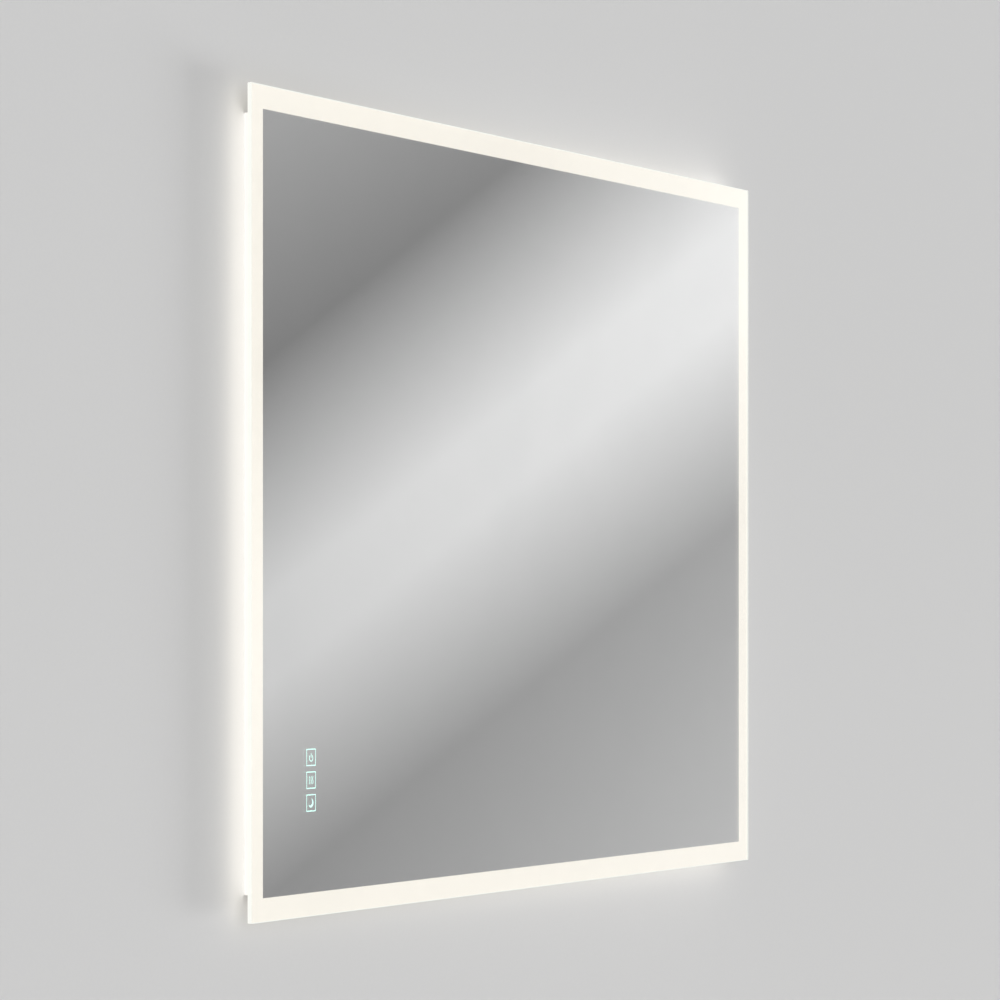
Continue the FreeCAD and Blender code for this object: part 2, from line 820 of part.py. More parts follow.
def make_wall_rail():
    """The folded steel rail that is screwed to the wall, its upper lip standing off as the hook."""
    body = new_body("wall_rail")
    ease = "(wall_rail_thickness * 0.4142)"
    shoulder = "(wall_rail_rise + hook_offset)"
    run(body, [("0", "-wall_rail_drop"), ("0", "wall_rail_rise"), ("hook_offset", shoulder),
               ("hook_offset", "seat_height"), ("hook_front", "seat_height"),
               ("hook_front", f"{shoulder} - {ease}"), ("wall_rail_thickness", f"wall_rail_rise - {ease}"),
               ("wall_rail_thickness", "-wall_rail_drop")], "wall_rail_length")
    soften(body, y_axis, "wall_rail_corner")
    # each slot is a straight middle, then its two round ends
    middles = ["-outer_slot", "-inner_slot", "inner_slot", "outer_slot"]
    straight = "(slot_length - slot_width)"
    boxes = [centred(straight, "slot_width", middle) for middle in middles]
    cut(body, "XZ_Plane", boxes, "0", "wall_rail_thickness")
    ends = []
    for middle in middles:
        for side in ("-", "+"):
            ends.append((f"{middle} {side} {straight} / 2", "0", "slot_width / 2"))
    cut(body, "XZ_Plane", ends, "0", "wall_rail_thickness")


def make_hanger(side):
    """A folded hook over the wall rail's lip, with the tapped foot that its level screw lifts by."""
    body = new_body("hanger_" + side)
    tongue_back = "(tongue_front - hanger_thickness)"
    foot = "(level_screw_depth + nut_edge)"
    run(body, [(tongue_back, "seat_height - tongue_length"), ("tongue_front", "seat_height - tongue_length"),
               ("tongue_front", "seat_height"), ("plate_back", "seat_height"), ("plate_back", "-hanger_drop"),
               (foot, "-hanger_drop"), (foot, "nut_thickness - hanger_drop"),
               ("plate_front", "nut_thickness - hanger_drop"), ("plate_front", "hook_top"),
               (tongue_back, "hook_top")], "hanger_width")
    hole = ("0", "-level_screw_depth", "level_screw_radius + thread_clearance")
    cut(body, "XY_Plane", [hole], "-hanger_drop", "nut_thickness - hanger_drop")
    place(body, f"{sides[side]} * hanger_spread")


def make_bracket(side):
    """The folded box on the top rail that the hanger slides in and the level screw turns in."""
    body = new_body("hanger_bracket_" + side)
    foot_top = "(flange_edge + bracket_foot_overlap)"
    roof = "(bracket_roof + bracket_wall)"
    floor = "(bracket_wall - bracket_drop)"
    web = "(bracket_front - bracket_wall)"
    run(body, [("flange_face", foot_top), ("flange_face + bracket_wall", foot_top),
               ("flange_face + bracket_wall", roof), ("bracket_front", roof),
               ("bracket_front", "-bracket_drop"), ("bracket_back", "-bracket_drop"),
               ("bracket_back", floor), (web, floor), (web, "bracket_roof"),
               ("flange_face", "bracket_roof")], "bracket_width")
    for cheek in ("-", ""):
        inner = f"{cheek}(bracket_width / 2 - bracket_wall)"
        outer = f"{cheek}(bracket_width / 2)"
        left, right = (outer, inner) if cheek == "-" else (inner, outer)
        pad(body, "XZ_Plane", [rectangle(left, right, floor, f"{floor} + bracket_cheek_height")],
            "bracket_back", web)
    hole = ("0", "-level_screw_depth", "level_screw_radius + level_hole_clearance")
    cut(body, "XY_Plane", [hole], "-bracket_drop", floor)
    line = "flange_edge + bracket_foot_overlap / 2"
    holes = [("-bracket_screw_spread", line, "thin_hole"), ("bracket_screw_spread", line, "thin_hole")]
    cut(body, "XZ_Plane", holes, "flange_face", "flange_face + bracket_wall")
    place(body, f"{sides[side]} * hanger_spread")


def make_level_screw(side):
    """The captive screw: its head takes the bracket's weight from below, its collar stops it falling."""
    body = new_body("level_screw_" + side)
    seat = "-bracket_drop"
    collar = "(bracket_wall - bracket_drop + 2 * snap_clearance)"
    spin(body, [("0", f"{seat} - level_head_height"), ("level_head_radius", f"{seat} - level_head_height"),
                ("level_head_radius", seat), ("level_screw_radius", seat), ("level_screw_radius", collar),
                ("level_collar_radius", collar), ("level_collar_radius", f"{collar} + level_collar_height"),
                ("level_screw_radius", f"{collar} + level_collar_height"),
                ("level_screw_radius", "level_screw_tip"), ("0", "level_screw_tip")])
    socket = []
    for index in range(6):
        angle = math.radians(60 * index)
        socket.append((f"level_socket_radius * {math.cos(angle):.6f}",
                       f"level_socket_radius * {math.sin(angle):.6f}"))
    cut(body, "XY_Plane", [socket], f"{seat} - level_head_height", f"{seat} - level_head_height / 3")
    place(body, f"{sides[side]} * hanger_spread", "level_screw_depth")


def make_bracket_screws(screw):
    """Two thin-headed screws through the top rail's rear flange into each bracket's foot."""
    spots = []
    for side in sides.values():
        for spread in ("+", "-"):
            spots.append((f"{side} * hanger_spread {spread} bracket_screw_spread", "frame_standoff",
                          "flange_edge + bracket_foot_overlap / 2"))
    copies("bracket_screws", screw, spots, facing_room)


# ---------------------------------------------------------------- electronics tray and driver

def make_tray(screw):
    """The folded pan between the cross bars, open to the wall, with a flange on each bar."""
    body = new_body("electronics_tray")
    inner = "tray_half_clear"
    outer = "(tray_half_clear + tray_wall)"
    reach = "(tray_half_clear + tray_wall + tray_flange)"
    run(body, [("tray_back", reach), ("flange_face", reach), ("flange_face", outer),
               ("tray_floor + tray_wall", outer), ("tray_floor + tray_wall", f"-{outer}"),
               ("flange_face", f"-{outer}"), ("flange_face", f"-{reach}"), ("tray_back", f"-{reach}"),
               ("tray_back", f"-{inner}"), ("tray_floor", f"-{inner}"), ("tray_floor", inner),
               ("tray_back", inner)], "tray_length")
    for end in ("-", ""):
        near = f"{end}(tray_length / 2 - tray_wall)"
        far = f"{end}(tray_length / 2)"
        left, right = (far, near) if end == "-" else (near, far)
        pad(body, "XZ_Plane", [rectangle(left, right, f"-{inner}", inner)], "tray_back", "tray_floor")
    # one hole for the gland on the right, two for the leads on the left and one below for the pad's
    gland_hole = ("-gland_depth", "0", "gland_thread_radius + snap_clearance")
    cut(body, "YZ_Plane", [gland_hole], "tray_length / 2 - tray_wall", "tray_length / 2")
    driver_hole = ("-driver_lead_depth", "-driver_width / 5", "lead_hole")
    cut(body, "YZ_Plane", [("-lead_floor", "-lead_row", "lead_hole"), driver_hole],
        "-tray_length / 2", "tray_wall - tray_length / 2")
    cut(body, "XY_Plane", [("control_centre", "-lead_floor", "lead_hole")], f"-{outer}", f"-{inner}")
    holes = []
    spots = []
    for side in sides.values():
        for row in ("-", "+"):
            holes.append((f"{side} * tray_screw_spread", f"{row}tray_screw_line", "thin_hole"))
            spots.append((f"{side} * tray_screw_spread", "tray_back", f"pane_middle {row} tray_screw_line"))
    cut(body, "XZ_Plane", holes, "tray_back", "flange_face")
    ears = []
    for end in ("-", "+"):
        across = f"driver_centre {end} (driver_length / 2 + driver_ear_hole)"
        ears.append((across, "0", "thin_hole"))
    cut(body, "XZ_Plane", ears, "tray_floor", "tray_floor + tray_wall")
    place(body, up="pane_middle")
    copies("tray_screws", screw, spots, facing_room)


def shell(label, width, height, back, front, wall, corner, open_side):
    """A five-sided case with rounded corners, open on the side of the room or of the wall."""
    body = new_body(label)
    pad(body, "XZ_Plane", [centred(width, height)], back, front)
    soften(body, y_axis, corner)
    inside = centred(f"{width} - 2 * {wall}", f"{height} - 2 * {wall}")
    if open_side == "room":
        cut(body, "XZ_Plane", [inside], f"{back} + {wall}", front)
    else:
        cut(body, "XZ_Plane", [inside], back, f"{front} - {wall}")
    return body


def make_driver(screw):
    """The LED driver: base with fixing ears, cover, populated board and transformer."""
    base = shell("driver_base", "driver_length", "driver_width", "driver_split", "tray_floor", "driver_wall",
                 "driver_corner", "wall")
    ear_half = "driver_length / 2"
    holes = []
    for end in ("-", ""):
        near = f"{end}({ear_half} - driver_wall)"
        far = f"{end}({ear_half} + driver_ear_length)"
        left, right = (far, near) if end == "-" else (near, far)
        pad(base, "XZ_Plane", [rectangle(left, right, "-driver_ear_width / 2", "driver_ear_width / 2")],
            "tray_floor - driver_ear_thickness", "tray_floor")
        holes.append((f"{end}({ear_half} + driver_ear_hole)", "0", "thin_hole"))
    cut(base, "XZ_Plane", holes, "tray_floor - driver_ear_thickness", "tray_floor")
    peg_across = "(driver_length / 2 - driver_wall - 2 * peg_radius)"
    peg_up = "(driver_width / 2 - driver_wall - 2 * peg_radius)"
    pegs = [(f"{a}{peg_across}", f"{b}{peg_up}", "peg_radius") for a in ("-", "") for b in ("-", "")]
    pad(base, "XZ_Plane", pegs, "board_front", "tray_floor - driver_wall")
    place(base, "driver_centre", up="pane_middle")

    cover = shell("driver_cover", "driver_length", "driver_width", "driver_back", "driver_split",
                  "driver_wall", "driver_corner", "room")
    holes = [("-driver_lead_depth", "-driver_width / 5", "lead_hole")]
    cut(cover, "YZ_Plane", holes, "-driver_length / 2", "driver_length / 2")
    place(cover, "driver_centre", up="pane_middle")

    board = new_body("driver_board")
    inside_length = "(driver_length - 2 * driver_wall - 2 * board_clearance)"
    inside_width = "(driver_width - 2 * driver_wall - 2 * board_clearance)"
    pad(board, "XZ_Plane", [centred(inside_length, inside_width)], "board_back", "board_front")
    cans = [(f"{side} * driver_length / 3.4", "-driver_width / 8", "capacitor_radius")
            for side in sides.values()]
    cans.append(("driver_length / 3.4 - 3 * capacitor_radius", "-driver_width / 8", "capacitor_radius"))
    pad(board, "XZ_Plane", cans, "board_back - capacitor_height", "board_back")
    coil = centred("transformer_length / 2", "transformer_width / 2", "-driver_length / 5", "driver_width / 8")
    pad(board, "XZ_Plane", [coil], "board_back - transformer_height / 2", "board_back")
    place(board, "driver_centre", up="pane_middle")

    core = new_body("driver_transformer")
    pad(core, "XZ_Plane", [centred("transformer_length", "transformer_width")],
        "board_back - transformer_height", "board_back")
    window = centred("transformer_length - 4 * driver_wall", "transformer_width * 0.6")
    pad(core, "XZ_Plane", [window], "board_back - transformer_height - driver_wall / 2",
        "board_back - transformer_height")
    soften(core, y_axis, "driver_wall / 2")
    place(core, "driver_centre", up="pane_middle")

    spots = []
    for end in ("-", "+"):
        across = f"driver_centre {end} (driver_length / 2 + driver_ear_hole)"
        spots.append((across, "tray_floor - driver_ear_thickness", "pane_middle"))
    copies("driver_screws", screw, spots, facing_room)


def make_control():
    """The touch controller: a case clipped on the tray's floor, and its board with the pad's relay."""
    case = shell("control_case", "control_length", "control_width", "control_back", "tray_floor",
                 "control_wall", "driver_corner", "room")
    across = "(control_length / 2 - control_wall - peg_radius)"
    up = "(control_width / 2 - control_wall - peg_radius)"
    posts = [centred("2 * peg_radius", "2 * peg_radius", f"{a}{across}", f"{b}{up}")
             for a in ("-", "") for b in ("-", "")]
    pad(case, "XZ_Plane", posts, "control_roof", "control_board_back")
    place(case, "control_centre", up="pane_middle")

    board = new_body("control_board")
    gap = "2 * control_wall - 2 * board_clearance"
    pad(board, "XZ_Plane", [centred(f"control_length - {gap}", f"control_width - {gap}")],
        "control_board_back", "control_board_back + driver_board_thickness")
    pad(board, "XZ_Plane", [centred("relay_length", "relay_width", "control_length / 8")],
        "control_board_back - relay_height", "control_board_back")
    chip = centred("relay_width / 2", "relay_width / 2", "-control_length / 5")
    pad(board, "XZ_Plane", [chip], "control_board_back - chip_height", "control_board_back")
    place(board, "control_centre", up="pane_middle")


# ---------------------------------------------------------------- mains terminal box and gland

def make_terminal_box():
    """The box that the house cable ends in, with two hinge ears over its top wall."""
    box = shell("terminal_box", "terminal_length", "terminal_width", "box_back", "tray_floor",
                "terminal_wall", "terminal_wall", "wall")
    for side in ("-", ""):
        near = f"{side}ear_offset"
        far = f"{side}(ear_offset + ear_thickness)"
        left, right = (far, near) if side == "-" else (near, far)
        root = [("box_back + knuckle_gap", "terminal_width / 2 - terminal_wall / 2"),
                ("box_back + knuckle_gap", "hinge_height + ear_radius"),
                ("box_back + 2 * ear_radius", "hinge_height + ear_radius"),
                ("box_back + 2 * ear_radius", "terminal_width / 2 - terminal_wall / 2")]
        pad(box, "YZ_Plane", [section(root)], left, right)
        pad(box, "YZ_Plane", [("-hinge_depth", "hinge_height", "ear_radius")], left, right)
    pin_hole = ("-hinge_depth", "hinge_height", "hinge_pin_radius + hinge_clearance")
    cut(box, "YZ_Plane", [pin_hole], "-terminal_length / 2", "terminal_length / 2")
    entry = ("-gland_depth", "0", "gland_bore_radius")
    cut(box, "YZ_Plane", [entry], "terminal_length / 2 - terminal_wall", "terminal_length / 2")
    leaving = ("-link_start", "-driver_lead_depth", "lead_hole")
    cut(box, "XY_Plane", [leaving], "-terminal_width / 2", "terminal_wall - terminal_width / 2")
    place(box, "terminal_centre", up="pane_middle")


def make_terminal_lid():
    """The lid, on two pins that snap into the ears from outside, with a rim that fits inside the box."""
    lid = new_body("terminal_lid")
    pad(lid, "XZ_Plane", [centred("terminal_length", "terminal_width")], "lid_back", "box_back")
    soften(lid, y_axis, "terminal_wall")
    rim = centred("terminal_length - 2 * terminal_wall - 2 * snap_clearance",
                  "terminal_width - 2 * terminal_wall - 2 * snap_clearance")
    hollow = centred("terminal_length - 4 * terminal_wall", "terminal_width - 4 * terminal_wall")
    for side in ("-", ""):
        start = f"{side}knuckle_start"
        end = f"{side}(knuckle_start + knuckle_width)"
        left, right = (end, start) if side == "-" else (start, end)
        arm = rectangle(left, right, "terminal_width / 2 - terminal_wall", "hinge_height")
        pad(lid, "XZ_Plane", [arm], "lid_back", "box_back")
        low, high = (f"-(knuckle_start + knuckle_width)", "-knuckle_start") if side == "-" else (
            "knuckle_start", "knuckle_start + knuckle_width")
        pad(lid, "YZ_Plane", [("-hinge_depth", "hinge_height", "knuckle_radius")], low, high)
        low, high = (f"-knuckle_start", "-(ear_offset - knuckle_gap)") if side == "-" else (
            "ear_offset - knuckle_gap", "knuckle_start")
        pad(lid, "YZ_Plane", [("-hinge_depth", "hinge_height", "hinge_pin_radius")], low, high)
    pad(lid, "XZ_Plane", [rim, hollow], "box_back", "box_back + lid_thickness")
    # the rim's top side is left out, so that it swings clear of the box's top wall
    cut(lid, "XZ_Plane", [rectangle("-terminal_length / 2", "terminal_length / 2",
                                    "terminal_width / 4", "terminal_width / 2")],
        "box_back", "box_back + lid_thickness")
    place(lid, "terminal_centre", up="pane_middle")


def make_terminal_block():
    """A three-pole block on the box's floor, with a clamp screw in each well."""
    body = new_body("terminal_block")
    pad(body, "XZ_Plane", [centred("block_length", "block_width")], "block_back", "box_floor")
    soften(body, y_axis, "terminal_wall / 2")
    poles = [f"({step}) * pole_pitch" for step in (-1, 0, 1)]
    cut(body, "XZ_Plane", [(pole, "0", "clamp_well_radius") for pole in poles],
        "block_back", "block_back + clamp_well_depth")
    entry = "-(block_back + clamp_well_depth + wire_entry_radius / 2)"
    cut(body, "XY_Plane", [(pole, entry, "wire_entry_radius") for pole in poles],
        "-block_width / 2", "block_width / 2")
    place(body, "terminal_centre", up="pane_middle")

    screw = document.addObject("PartDesign::Body", "clamp_screw")
    foot = "(block_back + clamp_well_depth)"
    pad(screw, "XZ_Plane", [("0", "0", "clamp_screw_radius")], f"{foot} - clamp_screw_height", foot)
    cut(screw, "XZ_Plane", [centred("3 * clamp_screw_radius", "clamp_screw_radius / 3")],
        f"{foot} - clamp_screw_height", f"{foot} - clamp_screw_height / 2")
    spots = [(f"terminal_centre + {pole}", "0", "pane_middle") for pole in poles]
    copies("terminal_clamp_screws", screw, spots)


def hexagon(flats):
    """Corners of a hexagon with two flats facing along the section's depth."""
    corners = []
    for index in range(6):
        angle = math.radians(60 * index + 30)
        corners.append((f"{flats} / 2 * {math.cos(angle) / math.cos(math.pi / 6):.6f}",
                        f"{flats} / 2 * {math.sin(angle) / math.cos(math.pi / 6):.6f}"))
    return corners


def make_gland():
    """The cable gland in the tray's right wall: body, seal, dome nut and lock nut on one level axis."""
    wall = "tray_length / 2"
    collar_end = f"({wall} + gland_collar)"
    body_end = f"({collar_end} + gland_body_reach)"
    body = new_body("gland_body")
    tail = f"({wall} - tray_wall - gland_tail)"
    pad(body, "YZ_Plane", [("0", "0", "gland_thread_radius")], tail, body_end)
    pad(body, "YZ_Plane", [hexagon("gland_hex_flats")], wall, collar_end)
    cut(body, "YZ_Plane", [("0", "0", "gland_bore_radius")], tail, body_end)

    seal = new_body("gland_seal")
    seal_start = f"({body_end} - seal_length)"
    pad(seal, "YZ_Plane", [("0", "0", "gland_bore_radius - thread_clearance"), ("0", "0", "seal_radius")],
        seal_start, body_end)

    dome = new_body("gland_dome_nut")
    dome_end = f"({collar_end} + dome_length)"
    pad(dome, "YZ_Plane", [hexagon("gland_hex_flats")], f"{collar_end} + snap_clearance", dome_end)
    cut(dome, "YZ_Plane", [("0", "0", "dome_bore_radius")], f"{collar_end} + snap_clearance",
        f"{body_end} + snap_clearance")
    cut(dome, "YZ_Plane", [("0", "0", "dome_mouth_radius")], body_end, dome_end)

    nut = new_body("gland_lock_nut")
    inside = f"({wall} - tray_wall)"
    pad(nut, "YZ_Plane", [hexagon("gland_hex_flats")], f"{inside} - gland_locknut", inside)
    cut(nut, "YZ_Plane", [("0", "0", "dome_bore_radius")], f"{inside} - gland_locknut", inside)
    for piece in (body, seal, dome, nut):
        place(piece, "0", "gland_depth", "pane_middle")


# ---------------------------------------------------------------- touch keys

def make_sensor():
    """Behind the keys: a film that tints their lines, three light cells, board and rear cover."""
    film = block("key_legend_film", ("key_left - sensor_width / 2", "legend_back", "key_middle - sensor_height / 2"),
                 ("key_left + sensor_width / 2", "coating_back", "key_middle + sensor_height / 2"))
    film.Label = "key_legend_film"
    sub_parts.append(film)

    cells = [centred("sensor_cell_width", "sensor_cell_height", up=f"({step}) * key_pitch") for step in (-1, 0, 1)]
    housing = new_body("sensor_housing")
    pad(housing, "XZ_Plane", [centred("sensor_width", "sensor_height")], "sensor_split", "legend_back")
    soften(housing, y_axis, "sensor_wall")
    cut(housing, "XZ_Plane", cells, "sensor_split", "legend_back")

    cover = new_body("sensor_cover")
    pad(cover, "XZ_Plane", [centred("sensor_width", "sensor_height")], "sensor_back", "sensor_split")
    soften(cover, y_axis, "sensor_wall")
    inside = centred("sensor_width - 2 * sensor_wall", "sensor_height - 2 * sensor_wall")
    cut(cover, "XZ_Plane", [inside], "sensor_back + sensor_wall", "sensor_split")

    board = new_body("sensor_board")
    gap = "2 * sensor_wall - 2 * snap_clearance"
    pad(board, "XZ_Plane", [centred(f"sensor_width - {gap}", f"sensor_height - {gap}")],
        "sensor_board_back", "sensor_board_front")
    for piece in (housing, cover, board):
        place(piece, "key_left", up="key_middle")

    electrode = document.addObject("PartDesign::Body", "electrode")
    ring_front = "(legend_back - snap_clearance)"
    pad(electrode, "XZ_Plane", [centred("electrode_size", "electrode_size"),
                                centred("electrode_size - 2 * electrode_ring", "electrode_size - 2 * electrode_ring")],
        f"{ring_front} - electrode_thickness", ring_front)
    leg = centred("electrode_ring", "electrode_ring / 2", "(electrode_size - electrode_ring) / 2")
    pad(electrode, "XZ_Plane", [leg], "sensor_board_front", f"{ring_front} - electrode_thickness")
    spots = [("key_left", "0", height) for height in key_heights()]
    copies("touch_electrodes", electrode, spots)

    lamp = document.addObject("PartDesign::Body", "key_lamp")
    pad(lamp, "XZ_Plane", [centred("key_lamp_size", "key_lamp_size")], "sensor_board_front",
        "sensor_board_front + key_lamp_height")
    copies("key_lamps", lamp, spots)


# ---------------------------------------------------------------- leads and clips

def make_lead(label, route):
    """A round lead along straight runs joined by arcs. Its points are bound to the sheet, and each arc
    is as large as its two runs leave room for."""
    spots = []
    for index, (across, depth, up) in enumerate(route):
        spot = document.addObject("Part::Vertex", f"{label}_{index}")
        bind(spot, X=across, Y=f"-({depth})", Z=up)
        spots.append(spot)
    document.recompute()
    points = [Vector(spot.X.Value, spot.Y.Value, spot.Z.Value) for spot in spots]
    edges = []
    here = points[0]
    tightest = None
    for before, corner, after in zip(points, points[1:], points[2:]):
        arriving = (corner - before).normalize()
        leaving = (after - corner).normalize()
        half_turn = arriving.getAngle(leaving) / 2
        setback = 0.45 * min(before.distanceToPoint(corner), corner.distanceToPoint(after))
        radius = setback / math.tan(half_turn)
        tightest = radius if tightest is None else min(tightest, radius)
        start = corner - arriving * setback
        end = corner + leaving * setback
        inward = (leaving - arriving).normalize()
        middle = corner + inward * radius * (1 / math.cos(half_turn) - 1)
        edges.append(Part.LineSegment(here, start).toShape())
        edges.append(Part.Arc(start, middle, end).toShape())
        here = end
    edges.append(Part.LineSegment(here, points[-1]).toShape())
    path = Part.Wire(edges)
    radius = float(sheet.get("lead_radius"))
    direction = (points[1] - points[0]).normalize()
    ring = Part.Wire([Part.makeCircle(radius, points[0], direction)])
    tube = path.makePipeShell([ring], True, False)
    expected = math.pi * radius ** 2 * path.Length
    if abs(tube.Volume / expected - 1) > 0.01:
        raise ValueError(label + ": the tube's volume isn't its section times its length")
    lead = document.addObject("Part::Feature", label)
    lead.Label = label
    lead.Shape = tube
    sub_parts.append(lead)
    bend = f", tightest bend {tightest:.1f} mm" if tightest else ""
    print(f"{label}: {path.Length:.0f} mm long{bend}")


def make_leads():
    """The leads that the body holds from end to end."""
    left_end = "-tray_length / 2"
    row = "(pane_middle - lead_row)"
    out = "(pane_middle - driver_width / 5)"
    make_lead("sensor_lead", [
        ("control_centre - control_length / 4", "lead_floor", "pane_middle - control_width / 2"),
        ("control_centre - control_length / 4", "lead_floor", row),
        (f"{left_end} - lead_straight", "lead_floor", row),
        (f"{left_end} - lead_straight - lead_slope", "lead_depth", row),
        ("key_left", "lead_depth", row),
        ("key_left", "lead_depth", "key_middle + sensor_height / 2"),
    ])
    feed = "wire_hole_from_corner - body_half_width"
    make_lead("led_feed_lead", [
        ("driver_centre - driver_length / 2 + driver_wall", "driver_lead_depth", out),
        (f"{left_end} - lead_straight", "driver_lead_depth", out),
        (f"{left_end} - lead_straight - lead_slope", "lead_depth", out),
        (feed, "lead_depth", out),
        (feed, "lead_depth", "pane_middle - body_half_height + web_setback - lead_tail"),
    ])
    link = "terminal_centre - link_start"
    turn = "(driver_centre + driver_length / 2 + control_centre - control_length / 2) / 2"
    make_lead("mains_link_lead", [
        (link, "driver_lead_depth", "pane_middle - terminal_width / 2 + terminal_wall"),
        (link, "driver_lead_depth", "pane_middle - link_row"),
        (turn, "driver_lead_depth", "pane_middle - link_row"),
        (turn, "driver_lead_depth", out),
        ("driver_centre + driver_length / 2 - driver_wall", "driver_lead_depth", out),
    ])
    below = "pane_middle - bar_line - bar_width / 2"
    tab = "pane_middle + pad_tab_height - pad_height / 2"
    make_lead("demister_lead", [
        ("control_centre", "lead_floor", "pane_middle - control_width / 2"),
        ("control_centre", "lead_floor", below),
        ("control_centre", "lead_depth", f"{below} - lead_slope"),
        ("control_centre", "lead_depth", tab),
        ("0", "lead_depth + pad_lead_dip", tab),
    ])


def make_clips():
    """Four saddles stuck to the silvering's paint, each with a lead through its eye."""
    clip = document.addObject("PartDesign::Body", "clip")
    pad(clip, "XZ_Plane", [centred("clip_length", "clip_width")],
        "lead_depth - lead_radius - clip_wall", "coating_back")
    soften(clip, y_axis, "clip_wall")
    eye = ("-lead_depth", "0", "lead_radius + clip_clearance")
    cut(clip, "YZ_Plane", [eye], "-clip_length / 2", "clip_length / 2")
    upright = Rotation(y_axis, 90)
    copies("cable_clips", clip, [
        ("-clip_from_middle", "0", "pane_middle - lead_row"),
        ("-clip_from_middle", "0", "pane_middle - driver_width / 5"),
        ("key_left", "0", "pane_middle - key_clip_drop", upright),
        ("wire_hole_from_corner - body_half_width", "0", "pane_middle - feed_clip_drop", upright),
    ])


def build_all():
    """Every sub-part, from the pane back to the wall."""
    make_glass()
    make_frosted_band()
    make_silver_layer()
    make_demister_pad()
    make_bond_tape()
    for side in frame_sides:
        make_rail(side)
        make_diffuser(side)
        make_led_strip(side)
    make_bumpers()
    screw = make_thin_screw()
    make_cleats(screw)
    make_cross_bars(screw)
    make_wall_rail()
    for side in sides:
        make_hanger(side)
        make_bracket(side)
        make_level_screw(side)
    make_bracket_screws(screw)
    make_tray(screw)
    make_driver(screw)
    make_control()
    make_terminal_box()
    make_terminal_lid()
    make_terminal_block()
    make_gland()
    make_sensor()
    make_leads()
    make_clips()


build_all()
document.recompute()

# ---------------------------------------------------------------- checks and export

for thing in document.Objects:
    if "Invalid" in thing.State or "Error" in thing.State:
        raise ValueError(thing.Label + " failed to compute")
for part in sub_parts:
    if part.Shape.isNull() or not part.Shape.isValid() or not part.Shape.Solids:
        raise ValueError(part.Label + " has no valid solid")

os.makedirs("parts", exist_ok=True)
for part in sub_parts:
    part.Shape.exportStep(f"parts/{part.Label}.step")
print(f"{len(sub_parts)} sub-parts written")
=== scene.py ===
import json
import math
import bpy
import numpy as np
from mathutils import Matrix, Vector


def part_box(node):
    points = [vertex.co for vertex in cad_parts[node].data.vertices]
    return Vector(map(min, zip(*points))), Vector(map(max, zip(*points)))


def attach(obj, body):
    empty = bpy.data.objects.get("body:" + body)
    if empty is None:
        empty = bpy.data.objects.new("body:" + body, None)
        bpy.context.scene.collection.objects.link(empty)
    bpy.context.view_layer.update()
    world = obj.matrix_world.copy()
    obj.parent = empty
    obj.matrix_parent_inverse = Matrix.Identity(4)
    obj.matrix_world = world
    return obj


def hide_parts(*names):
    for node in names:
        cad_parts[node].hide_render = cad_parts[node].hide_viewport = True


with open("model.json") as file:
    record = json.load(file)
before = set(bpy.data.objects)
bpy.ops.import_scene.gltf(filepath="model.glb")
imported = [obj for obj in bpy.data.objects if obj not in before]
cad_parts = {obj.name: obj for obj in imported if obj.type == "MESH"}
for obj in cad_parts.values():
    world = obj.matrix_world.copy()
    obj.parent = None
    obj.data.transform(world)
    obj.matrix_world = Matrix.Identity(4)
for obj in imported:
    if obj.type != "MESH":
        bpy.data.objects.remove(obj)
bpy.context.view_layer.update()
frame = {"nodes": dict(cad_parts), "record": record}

nodes = frame["nodes"]
print("frame loaded:", len(nodes), "nodes")

# helpers for node trees: a value that is a socket is linked, and any other value is set

def addNode(tree, kind, inputs=None, **settings):
    made = tree.nodes.new(kind)
    for name, value in settings.items():
        setattr(made, name, value)
    for name, value in (inputs or {}).items():
        if isinstance(value, bpy.types.NodeSocket):
            tree.links.new(value, made.inputs[name])
        else:
            made.inputs[name].default_value = value
    return made

def mathNode(tree, operation, first, second=0.0, third=0.0, clamp=False):
    return addNode(tree, "ShaderNodeMath", {0: first, 1: second, 2: third}, operation=operation,
                   use_clamp=clamp).outputs[0]

def mixColor(tree, factor, first, second):
    mix = addNode(tree, "ShaderNodeMix", {0: factor, 6: first, 7: second}, data_type="RGBA")
    return mix.outputs[2]

def mixValue(tree, factor, first, second):
    mix = addNode(tree, "ShaderNodeMix", {0: factor, 2: first, 3: second}, data_type="FLOAT")
    return mix.outputs[0]

def mapRange(tree, value, start=0.0, end=1.0, first=0.0, last=1.0, curve="LINEAR"):
    return addNode(tree, "ShaderNodeMapRange", {0: value, 1: start, 2: end, 3: first, 4: last},
                   interpolation_type=curve).outputs[0]

def objectSpot(tree):
    return addNode(tree, "ShaderNodeTexCoord").outputs["Object"]

def axesOf(tree, vector):
    return addNode(tree, "ShaderNodeSeparateXYZ", {0: vector}).outputs

def newMaterial(name, **shaderValues):
    material = bpy.data.materials.new(name)
    material.use_nodes = True
    tree = material.node_tree
    shader = tree.nodes["Principled BSDF"]
    for socket, value in shaderValues.items():
        shader.inputs[socket.replace("_", " ")].default_value = value
    return material, tree, shader

def wire(tree, shader, values):
    for name, value in values.items():
        tree.links.new(value, shader.inputs[name])

def addBump(tree, shader, height, strength, distance):
    bump = addNode(tree, "ShaderNodeBump", {"Height": height, "Strength": strength, "Distance": distance})
    tree.links.new(bump.outputs[0], shader.inputs["Normal"])

def rgb(color):
    return (*color, 1.0)

def darkened(tree, mask, color, share):
    # the colour, and that share of it where the mask is high
    return mixColor(tree, mask, rgb(color), rgb(tuple(share * channel for channel in color)))

